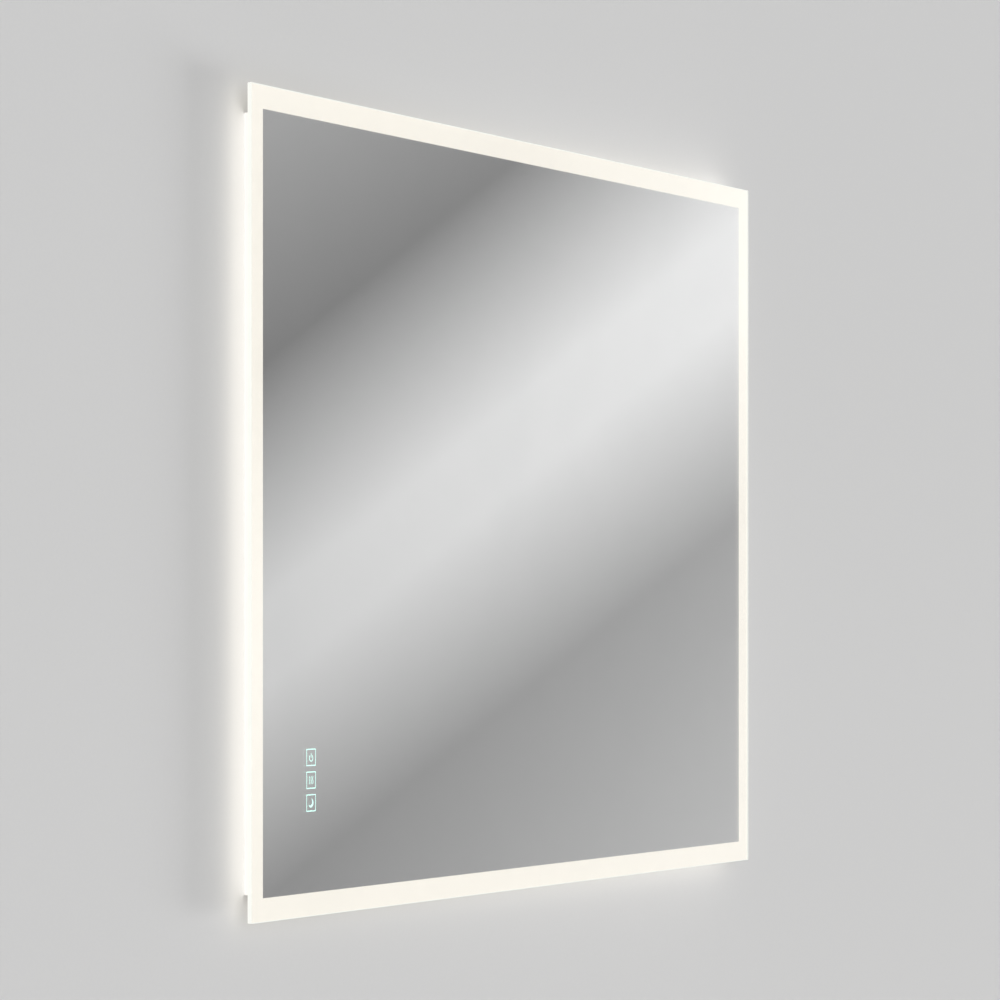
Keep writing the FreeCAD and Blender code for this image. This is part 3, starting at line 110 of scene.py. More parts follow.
def newGroup(name, inputs, outputs):
    group = bpy.data.node_groups.new(name, "ShaderNodeTree")
    for labels, direction in ((inputs, "INPUT"), (outputs, "OUTPUT")):
        for label in labels:
            group.interface.new_socket(label, in_out=direction, socket_type="NodeSocketFloat")
    return group, group.nodes.new("NodeGroupInput").outputs, group.nodes.new("NodeGroupOutput").inputs

def useGroup(tree, group, **values):
    made = addNode(tree, "ShaderNodeGroup", node_tree=group)
    for label, value in values.items():
        made.inputs[label].default_value = value
    return made.outputs

# effects that several finishes share; every scale is in cycles per metre

grainLook = {
    "detail": 3.0, "coarseShare": 0.6,
    "finerTimes": 6.0, "finerDetail": 2.0,
    "mask": (0.35, 0.65),   # the heights between which the mask rises
}

def grainGroup():
    # height = coarse share * a noise + the rest * a noise some times finer
    group, given, out = newGroup("surfaceGrain", ["scale"], ["mask", "height"])
    spot = objectSpot(group)
    coarse = addNode(group, "ShaderNodeTexNoise", {"Vector": spot, "Scale": given["scale"],
                                                   "Detail": grainLook["detail"]}).outputs["Fac"]
    finer = mathNode(group, "MULTIPLY", given["scale"], grainLook["finerTimes"])
    fine = addNode(group, "ShaderNodeTexNoise", {"Vector": spot, "Scale": finer,
                                                 "Detail": grainLook["finerDetail"]}).outputs["Fac"]
    rest = mathNode(group, "MULTIPLY", fine, 1 - grainLook["coarseShare"])
    height = mathNode(group, "MULTIPLY_ADD", coarse, grainLook["coarseShare"], rest)
    group.links.new(mapRange(group, height, *grainLook["mask"]), out["mask"])
    group.links.new(height, out["height"])
    return group

dustLook = {
    "color": (0.62, 0.60, 0.56),
    "upwards": (0.2, 0.95),   # how far a face looks up, from no dust to all of it
    "scale": 60.0, "detail": 4.0,
    "patches": (0.3, 0.75),   # the noise between bare and covered
}

def dustGroup():
    # dust settles where the surface looks up, broken up by a soft noise
    group, given, out = newGroup("settledDust", ["amount"], ["mask"])
    up = axesOf(group, addNode(group, "ShaderNodeNewGeometry").outputs["Normal"])["Z"]
    facing = mapRange(group, up, *dustLook["upwards"])
    patch = addNode(group, "ShaderNodeTexNoise", {"Vector": objectSpot(group), "Scale": dustLook["scale"],
                                                  "Detail": dustLook["detail"]}).outputs["Fac"]
    both = mathNode(group, "MULTIPLY", facing, mapRange(group, patch, *dustLook["patches"]))
    group.links.new(mathNode(group, "MULTIPLY", both, given["amount"], clamp=True), out["mask"])
    return group

smudgeLook = {"detail": 6.0, "distortion": 1.2, "mask": (0.4, 0.7)}

def smudgeGroup():
    # large faint clouds, as hands and cloths leave on a smooth surface
    group, given, out = newGroup("handling", ["scale"], ["mask"])
    cloud = addNode(group, "ShaderNodeTexNoise", {
        "Vector": objectSpot(group), "Scale": given["scale"], "Detail": smudgeLook["detail"],
        "Distortion": smudgeLook["distortion"]}).outputs["Fac"]
    group.links.new(mapRange(group, cloud, *smudgeLook["mask"]), out["mask"])
    return group

surfaceGrain = grainGroup()
settledDust = dustGroup()
handling = smudgeGroup()

# finishes of two close tones: "color" and "second" are the tones, "scale" is the grain's

plainUsual = {
    "metallic": 0.0, "ior": 1.46, "dust": 0.25,
    "smudgeScale": 14.0, "smudgeRough": 0.06,   # smudges are a little rougher
    "bumpDepth": 0.0002,
}
plainFinishes = {
    "anodised": {"color": (0.60, 0.61, 0.62), "second": (0.68, 0.69, 0.70), "metallic": 1.0,
                 "scale": 900.0, "rough": (0.30, 0.40), "bump": 0.10},
    "galvanised": {"color": (0.50, 0.52, 0.54), "second": (0.64, 0.66, 0.68), "metallic": 0.9,
                   "scale": 160.0, "rough": (0.34, 0.55), "bump": 0.08},
    "zincScrew": {"color": (0.62, 0.63, 0.65), "second": (0.74, 0.74, 0.75), "metallic": 1.0,
                  "scale": 1400.0, "rough": (0.24, 0.34), "bump": 0.12},
    "brassScrew": {"color": (0.66, 0.50, 0.22), "second": (0.78, 0.62, 0.32), "metallic": 1.0,
                   "scale": 1400.0, "rough": (0.24, 0.36), "bump": 0.12},
    "whiteCase": {"color": (0.63, 0.63, 0.61), "second": (0.68, 0.68, 0.66),
                  "scale": 1800.0, "rough": (0.42, 0.54), "bump": 0.28},
    "greyCase": {"color": (0.27, 0.29, 0.30), "second": (0.31, 0.33, 0.34),
                 "scale": 1800.0, "rough": (0.42, 0.56), "bump": 0.30},
    "blackCase": {"color": (0.018, 0.018, 0.020), "second": (0.030, 0.030, 0.033),
                  "scale": 1800.0, "rough": (0.40, 0.54), "bump": 0.30},
    "softRubber": {"color": (0.022, 0.022, 0.024), "second": (0.034, 0.034, 0.036),
                   "scale": 1100.0, "rough": (0.66, 0.82), "bump": 0.30},
    "foamTape": {"color": (0.80, 0.80, 0.78), "second": (0.70, 0.70, 0.68),
                 "scale": 2400.0, "rough": (0.80, 0.95), "bump": 0.60},
    "leadJacket": {"color": (0.74, 0.74, 0.72), "second": (0.80, 0.80, 0.78),
                   "scale": 700.0, "rough": (0.36, 0.46), "bump": 0.10},
    "ferrite": {"color": (0.060, 0.058, 0.056), "second": (0.100, 0.096, 0.092),
                "scale": 1200.0, "rough": (0.55, 0.75), "bump": 0.40},
}

def plainFinish(name, spec):
    # two close tones broken up by the grain, with dust on what faces up and a bump from the grain
    material, tree, shader = newMaterial(name, Metallic=spec["metallic"], IOR=spec["ior"])
    grain = useGroup(tree, surfaceGrain, scale=spec["scale"])
    dust = useGroup(tree, settledDust, amount=spec["dust"])["mask"]
    smudge = useGroup(tree, handling, scale=spec["smudgeScale"])["mask"]
    tone = mixColor(tree, grain["mask"], rgb(spec["color"]), rgb(spec["second"]))
    low, high = spec["rough"]
    rough = mapRange(tree, grain["mask"], first=low, last=high)
    worn = mathNode(tree, "MULTIPLY_ADD", smudge, spec["smudgeRough"], rough)
    wire(tree, shader, {"Base Color": mixColor(tree, dust, tone, rgb(dustLook["color"])),
                        "Roughness": mathNode(tree, "ADD", worn, dust, clamp=True)})
    addBump(tree, shader, grain["height"], spec["bump"], spec["bumpDepth"])
    return material

finish = {name: plainFinish(name, {**plainUsual, **spec}) for name, spec in plainFinishes.items()}
print("plain finishes made:", len(finish))

# finishes that glow, the lamps' own and painted glow on parts that they light; depths are along Y in
# metres, 0 at the wall and negative towards the room

litUsual = {
    "roughness": 0.5, "ior": 1.46, "grainScale": 1500.0, "grainTone": 0.96,
    "cloudScale": 30.0, "cloudTone": 0.97,   # faint clouds, and how far they dim the glow
    "shown": 2.0,   # the most that the camera sees of the power
    "wallward": (0.2, 0.8), "behind": 1.0,   # painted shade: faces that look at the wall show the camera this share of it
    "depths": (-0.001, -0.0225), "front": 1.0,   # and this share where they meet the pane, also painted shade
    "row": False,   # a row glows more towards the right: painted light and shade along the strip and on the wall it lights
}
rowGlow = {"dimAt": -0.45, "fullAt": 0.52, "dim": 0.08}
mint = (0.62, 1.0, 0.90)
# the opal's behind and front shares are painted shade on its glow, as the camera sees it
opal = {"color": (1.0, 0.97, 0.92), "under": (0.20, 0.20, 0.19), "shown": 0.88, "behind": 0.72,
        "front": 0.70}
litFinishes = {
    # painted glow: the pane's edge, the frosted border and the key signs are no lamps, and the LED light
    # that reaches them is painted as their own emission
    "paneEdge": {"color": (1.0, 0.985, 0.925), "power": 0.86, "under": (0.12, 0.15, 0.14)},
    # the frost's behind share is painted shade on its glow, as the camera sees it
    "frost": {"color": (0.965, 0.920, 0.830), "power": 1.03, "under": (0.10, 0.10, 0.09),
              "cloudTone": 0.985, "behind": 0.60},
    "opal": {**opal, "power": 2.0},
    "opalTop": {**opal, "power": 4.1, "row": True},
    "opalBottom": {**opal, "power": 3.1, "row": True},
    "keyFilm": {"color": mint, "power": 1.4, "under": (0.10, 0.14, 0.13)},
    "ledTape": {"color": (1.0, 0.93, 0.74), "power": 0.6, "under": (0.60, 0.56, 0.44),
                "cloudScale": 200.0},
    "lamp": {"color": mint, "power": 0.9, "under": (0.30, 0.34, 0.33), "cloudScale": 200.0},
}

def litFinish(name, spec):
    # an evenly lit translucent surface: the camera sees the lesser of its power and what is shown,
    # with painted shade that dims it towards the wall and the pane, and every other ray gets its whole
    # power
    material, tree, shader = newMaterial(name, Roughness=spec["roughness"], IOR=spec["ior"])
    cloud = useGroup(tree, handling, scale=spec["cloudScale"])["mask"]
    grain = useGroup(tree, surfaceGrain, scale=spec["grainScale"])["mask"]
    spot = axesOf(tree, objectSpot(tree))
    given = spec["power"]
    # painted shade: the row's glow, and the light it throws on the wall, dim towards its left end
    if spec["row"]:
        share = mapRange(tree, spot["X"], rowGlow["dimAt"], rowGlow["fullAt"], first=rowGlow["dim"])
        given = mathNode(tree, "MULTIPLY", share, given)
    # painted shade: the glow the camera sees dims on faces that look at the wall and near the pane
    wallward = axesOf(tree, addNode(tree, "ShaderNodeNewGeometry").outputs["Normal"])["Y"]
    wallShade = mapRange(tree, wallward, *spec["wallward"], first=1.0, last=spec["behind"])
    paneShade = mapRange(tree, spot["Y"], *spec["depths"], first=1.0, last=spec["front"])
    capped = mathNode(tree, "MULTIPLY", mathNode(tree, "MINIMUM", given, spec["shown"]), wallShade)
    capped = mathNode(tree, "MULTIPLY", capped, paneShade)
    camera = addNode(tree, "ShaderNodeLightPath").outputs["Is Camera Ray"]
    wire(tree, shader, {"Emission Color": darkened(tree, cloud, spec["color"], spec["cloudTone"]),
                        "Emission Strength": mixValue(tree, camera, given, capped),
                        "Base Color": darkened(tree, grain, spec["under"], spec["grainTone"])})
    return material

finish.update({name: litFinish(name, {**litUsual, **spec}) for name, spec in litFinishes.items()})

silver = {
    "color": (0.957, 0.957, 0.957), "ior": 1.46,
    "frontDepth": -0.0229,   # half way through the layer
    "lacquer": ((0.20, 0.215, 0.225), (0.235, 0.25, 0.26)), "rough": (0.42, 0.56),
    "cloudScale": 5.0, "grainScale": 500.0, "bump": 0.06, "bumpDepth": 0.0002,
}

def silveringFinish(spec):
    # polished silver towards the glass, grey lacquer on the back, told apart by depth
    material, tree, shader = newMaterial("silvering", IOR=spec["ior"])
    front = mathNode(tree, "LESS_THAN", axesOf(tree, objectSpot(tree))["Y"], spec["frontDepth"])
    back = mathNode(tree, "SUBTRACT", 1.0, front)
    cloud = useGroup(tree, handling, scale=spec["cloudScale"])["mask"]
    grain = useGroup(tree, surfaceGrain, scale=spec["grainScale"])
    lacquer = mixColor(tree, cloud, *(rgb(tone) for tone in spec["lacquer"]))
    low, high = spec["rough"]
    matte = mapRange(tree, grain["mask"], first=low, last=high)
    wire(tree, shader, {"Base Color": mixColor(tree, front, lacquer, rgb(spec["color"])),
                        "Roughness": mathNode(tree, "MULTIPLY", matte, back),
                        "Metallic": front})
    height = mathNode(tree, "MULTIPLY", grain["height"], back)
    addBump(tree, shader, height, spec["bump"], spec["bumpDepth"])
    return material

glass = {"ior": 1.5, "tones": ((0.990, 0.991, 0.990), (0.981, 0.983, 0.982)), "cloudScale": 4.0}

def glassFinish(spec):
    # clear low-iron float glass, with faint wipe marks in its tone
    material, tree, shader = newMaterial("paneGlass", IOR=spec["ior"], Roughness=0.0,
                                         Transmission_Weight=1.0)
    cloud = useGroup(tree, handling, scale=spec["cloudScale"])["mask"]
    wire(tree, shader, {"Base Color": mixColor(tree, cloud, *(rgb(tone) for tone in spec["tones"]))})
    return material

board = {
    "mask": (0.010, 0.075, 0.030), "track": (0.030, 0.150, 0.060), "tin": (0.70, 0.69, 0.66),
    "trackScale": 160.0, "trackWidth": 0.035, "trackStep": (1.7, 0.55),
    "padScale": 240.0, "padDisorder": 0.35, "padRadius": 0.16,
    "ior": 1.5, "grainScale": 1500.0, "rough": (0.24, 0.34), "bump": 0.25, "bumpDepth": 0.0001,
}

def boardFinish(spec):
    # green solder mask over copper tracks that run in steps, with rows of tinned pads
    material, tree, shader = newMaterial("boardGreen", IOR=spec["ior"])
    turned = addNode(tree, "ShaderNodeMapping", {"Vector": objectSpot(tree),
                                                 "Rotation": (math.pi / 2, 0, 0)}).outputs[0]
    length, height = spec["trackStep"]
    tracks = addNode(tree, "ShaderNodeTexBrick", {
        "Vector": turned, "Scale": spec["trackScale"], "Mortar Size": spec["trackWidth"],
        "Brick Width": length, "Row Height": height}, offset=0.5).outputs["Fac"]
    dots = addNode(tree, "ShaderNodeTexVoronoi", {
        "Vector": turned, "Scale": spec["padScale"], "Randomness": spec["padDisorder"]},
        voronoi_dimensions="2D")
    pad = mathNode(tree, "LESS_THAN", dots.outputs["Distance"], spec["padRadius"])
    green = mixColor(tree, tracks, rgb(spec["mask"]), rgb(spec["track"]))
    grain = useGroup(tree, surfaceGrain, scale=spec["grainScale"])["mask"]
    low, high = spec["rough"]
    wire(tree, shader, {"Base Color": mixColor(tree, pad, green, rgb(spec["tin"])),
                        "Roughness": mapRange(tree, grain, first=low, last=high),
                        "Metallic": pad})
    addBump(tree, shader, tracks, spec["bump"], spec["bumpDepth"])
    return material

heater = {
    "film": ((0.60, 0.56, 0.46), (0.66, 0.62, 0.52)), "print": (0.34, 0.33, 0.32), "metallic": 0.7,
    "halfPitch": 0.0035, "halfTrack": 0.0011,
    "middle": -0.35, "reach": 0.188,   # the height of the pad's middle, and how far the print goes from it
    "ior": 1.5, "cloudScale": 10.0, "rough": (0.20, 0.34), "bump": 0.4, "bumpDepth": 0.0001,
}

def heaterFinish(spec):
    # clear film over a print of upright tracks, 7 mm apart
    material, tree, shader = newMaterial("heaterFilm", IOR=spec["ior"])
    spot = axesOf(tree, objectSpot(tree))
    across = mathNode(tree, "PINGPONG", spot["X"], spec["halfPitch"])
    track = mathNode(tree, "LESS_THAN", across, spec["halfTrack"])
    offMiddle = mathNode(tree, "ABSOLUTE", mathNode(tree, "SUBTRACT", spot["Z"], spec["middle"]))
    printed = mathNode(tree, "MULTIPLY", track, mathNode(tree, "LESS_THAN", offMiddle, spec["reach"]))
    cloud = useGroup(tree, handling, scale=spec["cloudScale"])["mask"]
    film = mixColor(tree, cloud, *(rgb(tone) for tone in spec["film"]))
    low, high = spec["rough"]
    wire(tree, shader, {"Base Color": mixColor(tree, printed, film, rgb(spec["print"])),
                        "Roughness": mapRange(tree, cloud, first=low, last=high),
                        "Metallic": mathNode(tree, "MULTIPLY", printed, spec["metallic"])})
    addBump(tree, shader, printed, spec["bump"], spec["bumpDepth"])
    return material

finish["silvering"] = silveringFinish(silver)
finish["paneGlass"] = glassFinish(glass)
finish["boardGreen"] = boardFinish(board)
finish["heaterFilm"] = heaterFinish(heater)
print("finishes made:", len(finish))

# which finish each piece has, by its slot in the record; two pieces have one of their own

slotFinish = {
    "pane_glass": "paneGlass", "silvering": "silvering", "frost": "frost", "opal": "opal",
    "key_film": "keyFilm", "anodised": "anodised", "galvanised": "galvanised", "zinc_screw": "zincScrew",
    "brass": "brassScrew", "foam": "foamTape", "soft_rubber": "softRubber", "led_tape": "ledTape",
    "heater_film": "heaterFilm", "white_case": "whiteCase", "grey_case": "greyCase",
    "black_case": "blackCase", "board_green": "boardGreen", "ferrite": "ferrite",
    "lead_jacket": "leadJacket", "lamp": "lamp",
}
ownFinish = {"diffuser_top": "opalTop", "diffuser_bottom": "opalBottom"}
for row in frame["record"]["subparts"]:
    piece = nodes[row["node"]]
    piece.data.materials.clear()
    piece.data.materials.append(finish[ownFinish.get(row["node"], slotFinish[row["material_slot"]])])
print("finishes put on the frame's nodes")

# new pieces, each a surface worked out with numpy

def newPiece(name, points, faces, materials, body, faceMaterials=None):
    mesh = bpy.data.meshes.new(name)
    mesh.from_pydata(points.tolist(), [], faces)
    for material in materials:
        mesh.materials.append(finish[material])
    if faceMaterials is not None:
        mesh.polygons.foreach_set("material_index", np.asarray(faceMaterials, np.int32))
    mesh.update()
    piece = bpy.data.objects.new(name, mesh)
    bpy.context.scene.collection.objects.link(piece)
    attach(piece, body)
    return piece

def bandFaces(rings, count):
    # quads between each closed ring of points and the next one
    row, column = np.meshgrid(np.arange(rings - 1), np.arange(count), indexing="ij")
    here = row * count + column
    beside = row * count + (column + 1) % count
    return np.stack([here + count, beside + count, beside, here], axis=-1).reshape(-1, 4).tolist()

paneLow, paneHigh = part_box("mirror_glass")
pane = {
    "cornerRadius": 0.0012,
    "cornerSteps": 5,
    "arris": 0.0006,
    "arrisSteps": 4,
    "backGap": 0.00003,   # keeps the silvering just off the glass
}

def paneSurface(spec):
    # outline(a) = corner centre + (corner radius - inset) * (cos a, sin a), carried through the depth:
    # a quarter round arris at the back, a straight edge, and a quarter round arris at the front
    quarter = np.linspace(0, math.pi / 2, spec["arrisSteps"])
    falling = spec["arris"] * (1 - np.sin(quarter))
    rising = spec["arris"] * (1 - np.cos(quarter))
    insets = np.concatenate([falling, rising])
    depths = np.concatenate([paneHigh.y - spec["backGap"] - rising, paneLow.y + falling])
    turn = np.linspace(0, math.pi / 2, spec["cornerSteps"])
    angle = (turn[None, :] + np.arange(4)[:, None] * math.pi / 2).ravel()
    signX = np.repeat([1, -1, -1, 1], spec["cornerSteps"])
    signZ = np.repeat([1, 1, -1, -1], spec["cornerSteps"])
    middleX, middleZ = (paneLow.x + paneHigh.x) / 2, (paneLow.z + paneHigh.z) / 2
    coreX = middleX + signX * ((paneHigh.x - paneLow.x) / 2 - spec["cornerRadius"])
    coreZ = middleZ + signZ * ((paneHigh.z - paneLow.z) / 2 - spec["cornerRadius"])
    reach = (spec["cornerRadius"] - insets)[:, None]
    x = coreX[None, :] + reach * np.cos(angle)[None, :]
    z = coreZ[None, :] + reach * np.sin(angle)[None, :]
    y = np.broadcast_to(depths[:, None], x.shape)
    points = np.stack([x, y, z], axis=-1).reshape(-1, 3)
    rings, count = len(depths), len(angle)
    edgeFaces = bandFaces(rings, count)
    flatFaces = [list(range(count - 1, -1, -1)), list(range((rings - 1) * count, rings * count))]
    return points, edgeFaces + flatFaces, [1] * len(edgeFaces) + [0] * len(flatFaces)

points, faces, faceMaterials = paneSurface(pane)
# the edge faces take the pane edge's painted glow
panePiece = newPiece("pane", points, faces, ["paneGlass", "paneEdge"], "unit", faceMaterials)
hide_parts("mirror_glass")
print("pane made")

# the signs on the keys: their shapes are in millimetres from the key's middle, and in degrees
filmLow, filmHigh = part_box("key_legend_film")
keys = {
    "x": (filmLow.x + filmHigh.x) / 2,
    "z": (filmLow.z + filmHigh.z) / 2,
    "pitch": 0.025,
    "lift": 0.000012,   # off the silvering, in the gap behind the pane
    "thickness": 0.000008,
    "stroke": 1.0,   # millimetres, as the shapes
}
millimetre = 0.001

def ribbon(first, second):
    # surface(t, s) = first(t) + s * (second(t) - first(t)), given a thin wall: quads run along its
    # four edges, and one closes each end
    count = len(first)
    flat = np.stack([first, second]) * millimetre
    depth = np.full(flat.shape[:2], paneHigh.y - keys["lift"])
    front = np.stack([flat[..., 0], depth, flat[..., 1]], axis=-1)
    back = front + np.array([0, keys["thickness"], 0])
    points = np.stack([front[0], front[1], back[1], back[0]]).reshape(-1, 3)
    last = count - 1
    faces = []
    for edge in range(4):
        here = np.arange(last) + edge * count
        there = np.arange(last) + (edge + 1) % 4 * count
        faces += np.stack([here, there, there + 1, here + 1], axis=-1).tolist()
    faces.append([0, 3 * count, 2 * count, count])
    faces.append([last, count + last, 2 * count + last, 3 * count + last])
    return points, faces

def stroke(path, width):
    # edges(t) = path(t) -+ width / 2 * the unit normal of the path
    tangent = np.gradient(path, axis=0)
    tangent /= np.linalg.norm(tangent, axis=1, keepdims=True)
    normal = np.stack([-tangent[:, 1], tangent[:, 0]], axis=1)
    return ribbon(path + normal * width / 2, path - normal * width / 2)

def arc(centre, radius, start, end, count=48):
    # point(a) = centre + radius * (cos a, sin a)
    angle = np.radians(np.linspace(start, end, count))
    return np.stack([centre[0] + radius * np.cos(angle), centre[1] + radius * np.sin(angle)], axis=1)

power = {"middle": (0, -0.65), "radius": 3.5, "turn": (128, 412), "bar": (-0.4, 4.65), "barSteps": 6}

def powerSign():
    # an open ring, and an upright bar from its middle through the opening
    ring = arc(power["middle"], power["radius"], *power["turn"])
    height = np.linspace(*power["bar"], power["barSteps"])
    bar = np.stack([np.zeros(len(height)), height], axis=1)
    return [stroke(ring, keys["stroke"]), stroke(bar, keys["stroke"])]

heat = {"starts": (-3.4, 0.0, 3.4), "slant": 1.2, "swing": 0.75, "height": 8.6, "steps": 32}

def heatSign():
    # x(t) = start + slant * (t - 1/2) + swing * sin(2 pi t), z(t) = height * (t - 1/2)
    t = np.linspace(0, 1, heat["steps"])
    lines = []
    for start in heat["starts"]:
        x = start + heat["slant"] * (t - 0.5) + heat["swing"] * np.sin(2 * math.pi * t)
        lines.append(stroke(np.stack([x, heat["height"] * (t - 0.5)], axis=1), keys["stroke"]))
    return lines

moon = {
    "middle": (-0.41, -0.08), "radius": 4.94, "turn": (80.6, -158.3),
    "innerMiddle": (-2.25, 1.40), "innerRadius": 4.30,
    "shrunk": 0.999,   # keeps the two edges apart where they meet in the horns
}

def moonSign():
    # two arcs that meet in the horns: a large outer one and an inner one moved to the upper left
    outer = arc(moon["middle"], moon["radius"], *moon["turn"])
    horns = outer[[0, -1]] - np.array(moon["innerMiddle"])
    start, end = np.degrees(np.arctan2(horns[:, 1], horns[:, 0]))
    inner = arc(moon["innerMiddle"], moon["innerRadius"], start, end if end < start else end - 360)
    return [ribbon(outer * moon["shrunk"], inner)]

def makeSign(name, shapes, up):
    points, faces, count = [], [], 0
    for shapePoints, shapeFaces in shapes:
        points.append(shapePoints)
        faces += [[index + count for index in face] for face in shapeFaces]
        count += len(shapePoints)
    placed = np.concatenate(points) + np.array([keys["x"], 0, keys["z"] + up])
    return newPiece(name, placed, faces, ["keyFilm"], "unit")

# the signs take the key film's painted glow
makeSign("signPower", powerSign(), keys["pitch"])
makeSign("signHeat", heatSign(), 0.0)
makeSign("signMoon", moonSign(), -keys["pitch"])
print("key signs made")

# wall, floor, light and camera

room = {
    "wallY": 0.0006,   # just off the object's back
    "wallTop": 4.0, "floorZ": -1.85, "size": 14.0,
    "wall": (0.64, 0.64, 0.64), "wallGrain": 0.985, "wallScale": 260.0, "wallRough": 0.9,
    "floor": (0.80, 0.79, 0.78), "floorGrain": 0.98, "floorScale": 40.0, "floorRough": 0.8,
    "farFloor": (0.50, 0.495, 0.49), "floorFades": (-0.8, -3.4),   # from here to here, off the wall
}

def stagePlane(name, corners, material):
    mesh = bpy.data.meshes.new(name)
    mesh.from_pydata(corners, [], [list(range(len(corners)))])
    mesh.materials.append(material)
    plane = bpy.data.objects.new(name, mesh)
    bpy.context.scene.collection.objects.link(plane)
    return plane

def wallFinish():
    # painted plaster, seen only from the room's side, by the camera and through glass
    material, tree, shader = newMaterial("wallPaint", Roughness=room["wallRough"])
    grain = useGroup(tree, surfaceGrain, scale=room["wallScale"])["mask"]
    wire(tree, shader, {"Base Color": darkened(tree, grain, room["wall"], room["wallGrain"])})
    clear = addNode(tree, "ShaderNodeBsdfTransparent").outputs[0]
    path = addNode(tree, "ShaderNodeLightPath").outputs
    looked = mathNode(tree, "MAXIMUM", path["Is Camera Ray"], path["Is Transmission Ray"])
    behind = addNode(tree, "ShaderNodeNewGeometry").outputs["Backfacing"]
    seen = mathNode(tree, "MULTIPLY", looked, mathNode(tree, "SUBTRACT", 1.0, behind))
    mix = addNode(tree, "ShaderNodeMixShader", {0: seen, 1: clear, 2: shader.outputs[0]})
    tree.links.new(mix.outputs[0], tree.nodes["Material Output"].inputs["Surface"])
    return material

def floorFinish():
    # a pale plain floor that deepens a little away from the wall, so that the mirror shows a soft change
    material, tree, shader = newMaterial("paleFloor", Roughness=room["floorRough"])
    grain = useGroup(tree, surfaceGrain, scale=room["floorScale"])["mask"]
    near = darkened(tree, grain, room["floor"], room["floorGrain"])
    far = mapRange(tree, axesOf(tree, objectSpot(tree))["Y"], *room["floorFades"], curve="SMOOTHSTEP")
    wire(tree, shader, {"Base Color": mixColor(tree, far, near, rgb(room["farFloor"]))})
    return material

half = room["size"] / 2
stagePlane("wall", [(-half, room["wallY"], room["floorZ"]), (half, room["wallY"], room["floorZ"]),
                    (half, room["wallY"], room["wallTop"]), (-half, room["wallY"], room["wallTop"])],
           wallFinish())
floor = stagePlane("floor", [(-half, -half, room["floorZ"]), (half, -half, room["floorZ"]),
                             (half, half, room["floorZ"]), (-half, half, room["floorZ"])], floorFinish())
floor.visible_shadow = False   # the low light that grazes the wall comes from under it

# "way" is the direction in which a sun's light travels, and "spread" the angle that it fills
suns = {
    "front": {"way": (0.62, 0.78, -0.10), "power": 0.81, "spread": 40.0},
    "grazing": {"way": (-0.950, 0.245, 0.195), "power": 1.80, "spread": 17.0},
    "behind": {"way": (0.35, -0.85, -0.40), "power": 1.3, "spread": 25.0},
    "behindLow": {"way": (-0.70, -0.70, 0.15), "power": 0.7, "spread": 25.0},
}
for name, spec in suns.items():
    lamp = bpy.data.lights.new(name, "SUN")
    lamp.energy = spec["power"]
    lamp.angle = math.radians(spec["spread"])
    sun = bpy.data.objects.new(name, lamp)
    x, y, z = spec["way"]
    sun.rotation_euler = (math.pi / 2 + math.atan2(z, math.hypot(x, y)), 0, math.atan2(-x, y))
    sun.visible_glossy = False
    bpy.context.scene.collection.objects.link(sun)

# what the mirror shows: a soft band of daylight rising to the right, darker above it on the left
reflection = {
    "towards": (0.866, -0.5, 0.0), "across": (0.5, 0.866, 0.0),
    "slope": math.radians(38.7), "middleHeight": 0.0296,
    "plain": (0.64, 0.64, 0.64), "seen": (0.86, 0.86, 0.86), "gain": 1.06, "rise": 1.9,
    # the tone at each distance from the band's middle line, towards the upper left
    "tones": [(-0.108, 0.51), (-0.044, 0.355), (0.0, 0.73), (0.018, 0.73), (0.068, 0.225), (0.116, 0.36)],
    # round the rest of the room: tone = middle + swing * sin(turns * how far the view goes that way)
    "wideWay": (-0.55, 0.15, 0.82), "wideTurns": 8.0, "wideSwing": 0.20, "wideTone": 0.56,
    "nearFrom": 0.955, "nearFull": 0.985,   # how nearly ahead the view is, from the wide tone to the band
}

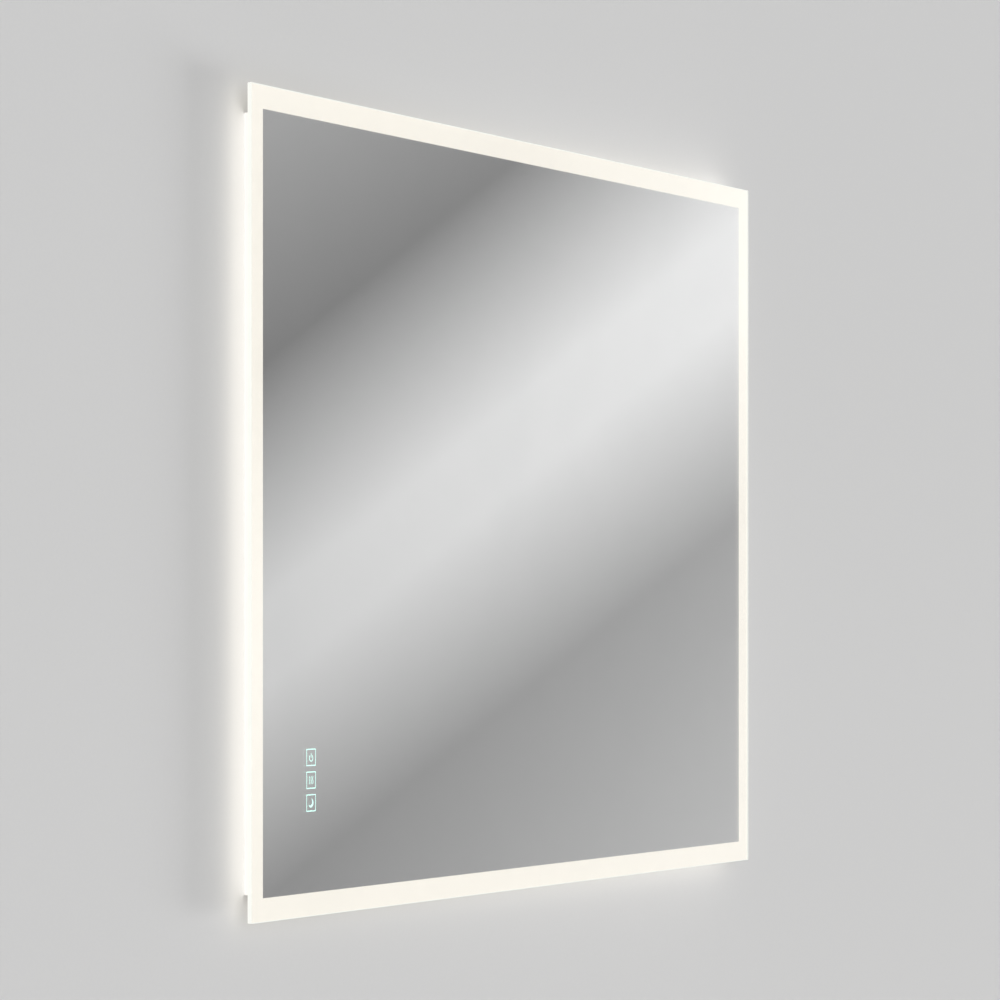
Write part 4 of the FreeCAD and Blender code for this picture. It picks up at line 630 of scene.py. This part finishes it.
def worldLight():
    # in slopes from the middle of the view, the distance from the band's line is up * cos(slope) -
    # across * sin(slope), and its tone there grows along the line
    world = bpy.data.worlds.new("room")
    bpy.context.scene.world = world
    world.use_nodes = True
    tree = world.node_tree
    tree.nodes.clear()
    way = addNode(tree, "ShaderNodeTexCoord").outputs["Generated"]

    def part(axis):
        dot = addNode(tree, "ShaderNodeVectorMath", {0: way, 1: axis}, operation="DOT_PRODUCT")
        return dot.outputs["Value"]

    def blended(first, second, firstShare, secondShare):
        scaled = mathNode(tree, "MULTIPLY", second, secondShare)
        return mathNode(tree, "MULTIPLY_ADD", first, firstShare, scaled)

    ahead = part(reflection["towards"])
    across = mathNode(tree, "DIVIDE", part(reflection["across"]), ahead)
    level = mathNode(tree, "DIVIDE", part((0, 0, 1)), ahead)
    up = mathNode(tree, "SUBTRACT", level, reflection["middleHeight"])
    sine, cosine = math.sin(reflection["slope"]), math.cos(reflection["slope"])
    over = blended(across, up, -sine, cosine)
    along = blended(across, up, cosine, sine)
    tones = reflection["tones"]
    low, high = tones[0][0], tones[-1][0]
    shade = addNode(tree, "ShaderNodeValToRGB", {0: mapRange(tree, over, low, high)})
    ramp = shade.color_ramp
    while len(ramp.elements) < len(tones):
        ramp.elements.new(0.5)
    for element, (distance, tone) in zip(ramp.elements, tones):
        element.position = (distance - low) / (high - low)
        element.color = (tone, tone, tone, 1)
    rise = mathNode(tree, "MULTIPLY_ADD", along, reflection["rise"], 1.0)
    band = mathNode(tree, "MULTIPLY", shade.outputs["Color"], rise)
    turned = mathNode(tree, "MULTIPLY", part(reflection["wideWay"]), reflection["wideTurns"])
    wide = mathNode(tree, "MULTIPLY_ADD", mathNode(tree, "SINE", turned), reflection["wideSwing"],
                    reflection["wideTone"])
    near = mapRange(tree, ahead, reflection["nearFrom"], reflection["nearFull"], curve="SMOOTHSTEP")
    mirrored = mathNode(tree, "MULTIPLY", mixValue(tree, near, wide, band), reflection["gain"])
    path = addNode(tree, "ShaderNodeLightPath").outputs
    mirrorRay = mathNode(tree, "MAXIMUM", path["Is Glossy Ray"], path["Is Transmission Ray"])
    light = mixColor(tree, mirrorRay, rgb(reflection["plain"]), mirrored)
    shown = mixColor(tree, path["Is Camera Ray"], light, rgb(reflection["seen"]))
    background = addNode(tree, "ShaderNodeBackground", {"Color": shown, "Strength": 1.0})
    output = addNode(tree, "ShaderNodeOutputWorld")
    tree.links.new(background.outputs[0], output.inputs["Surface"])

worldLight()

view = {
    "place": (-3.9416, -2.2641, -0.4654), "yaw": -60.0,
    "lens": 135.16, "sensor": 36.0, "shift": 0.1109, "farthest": 60.0,
}
cameraData = bpy.data.cameras.new("camera")
cameraData.lens = view["lens"]
cameraData.sensor_width = view["sensor"]
cameraData.shift_y = view["shift"]
cameraData.clip_end = view["farthest"]
camera = bpy.data.objects.new("camera", cameraData)
camera.location = view["place"]
camera.rotation_euler = (math.pi / 2, 0, math.radians(view["yaw"]))
bpy.context.scene.collection.objects.link(camera)
bpy.context.scene.camera = camera
bpy.context.scene.view_settings.view_transform = "Standard"
print("wall, floor, lamps and camera made")
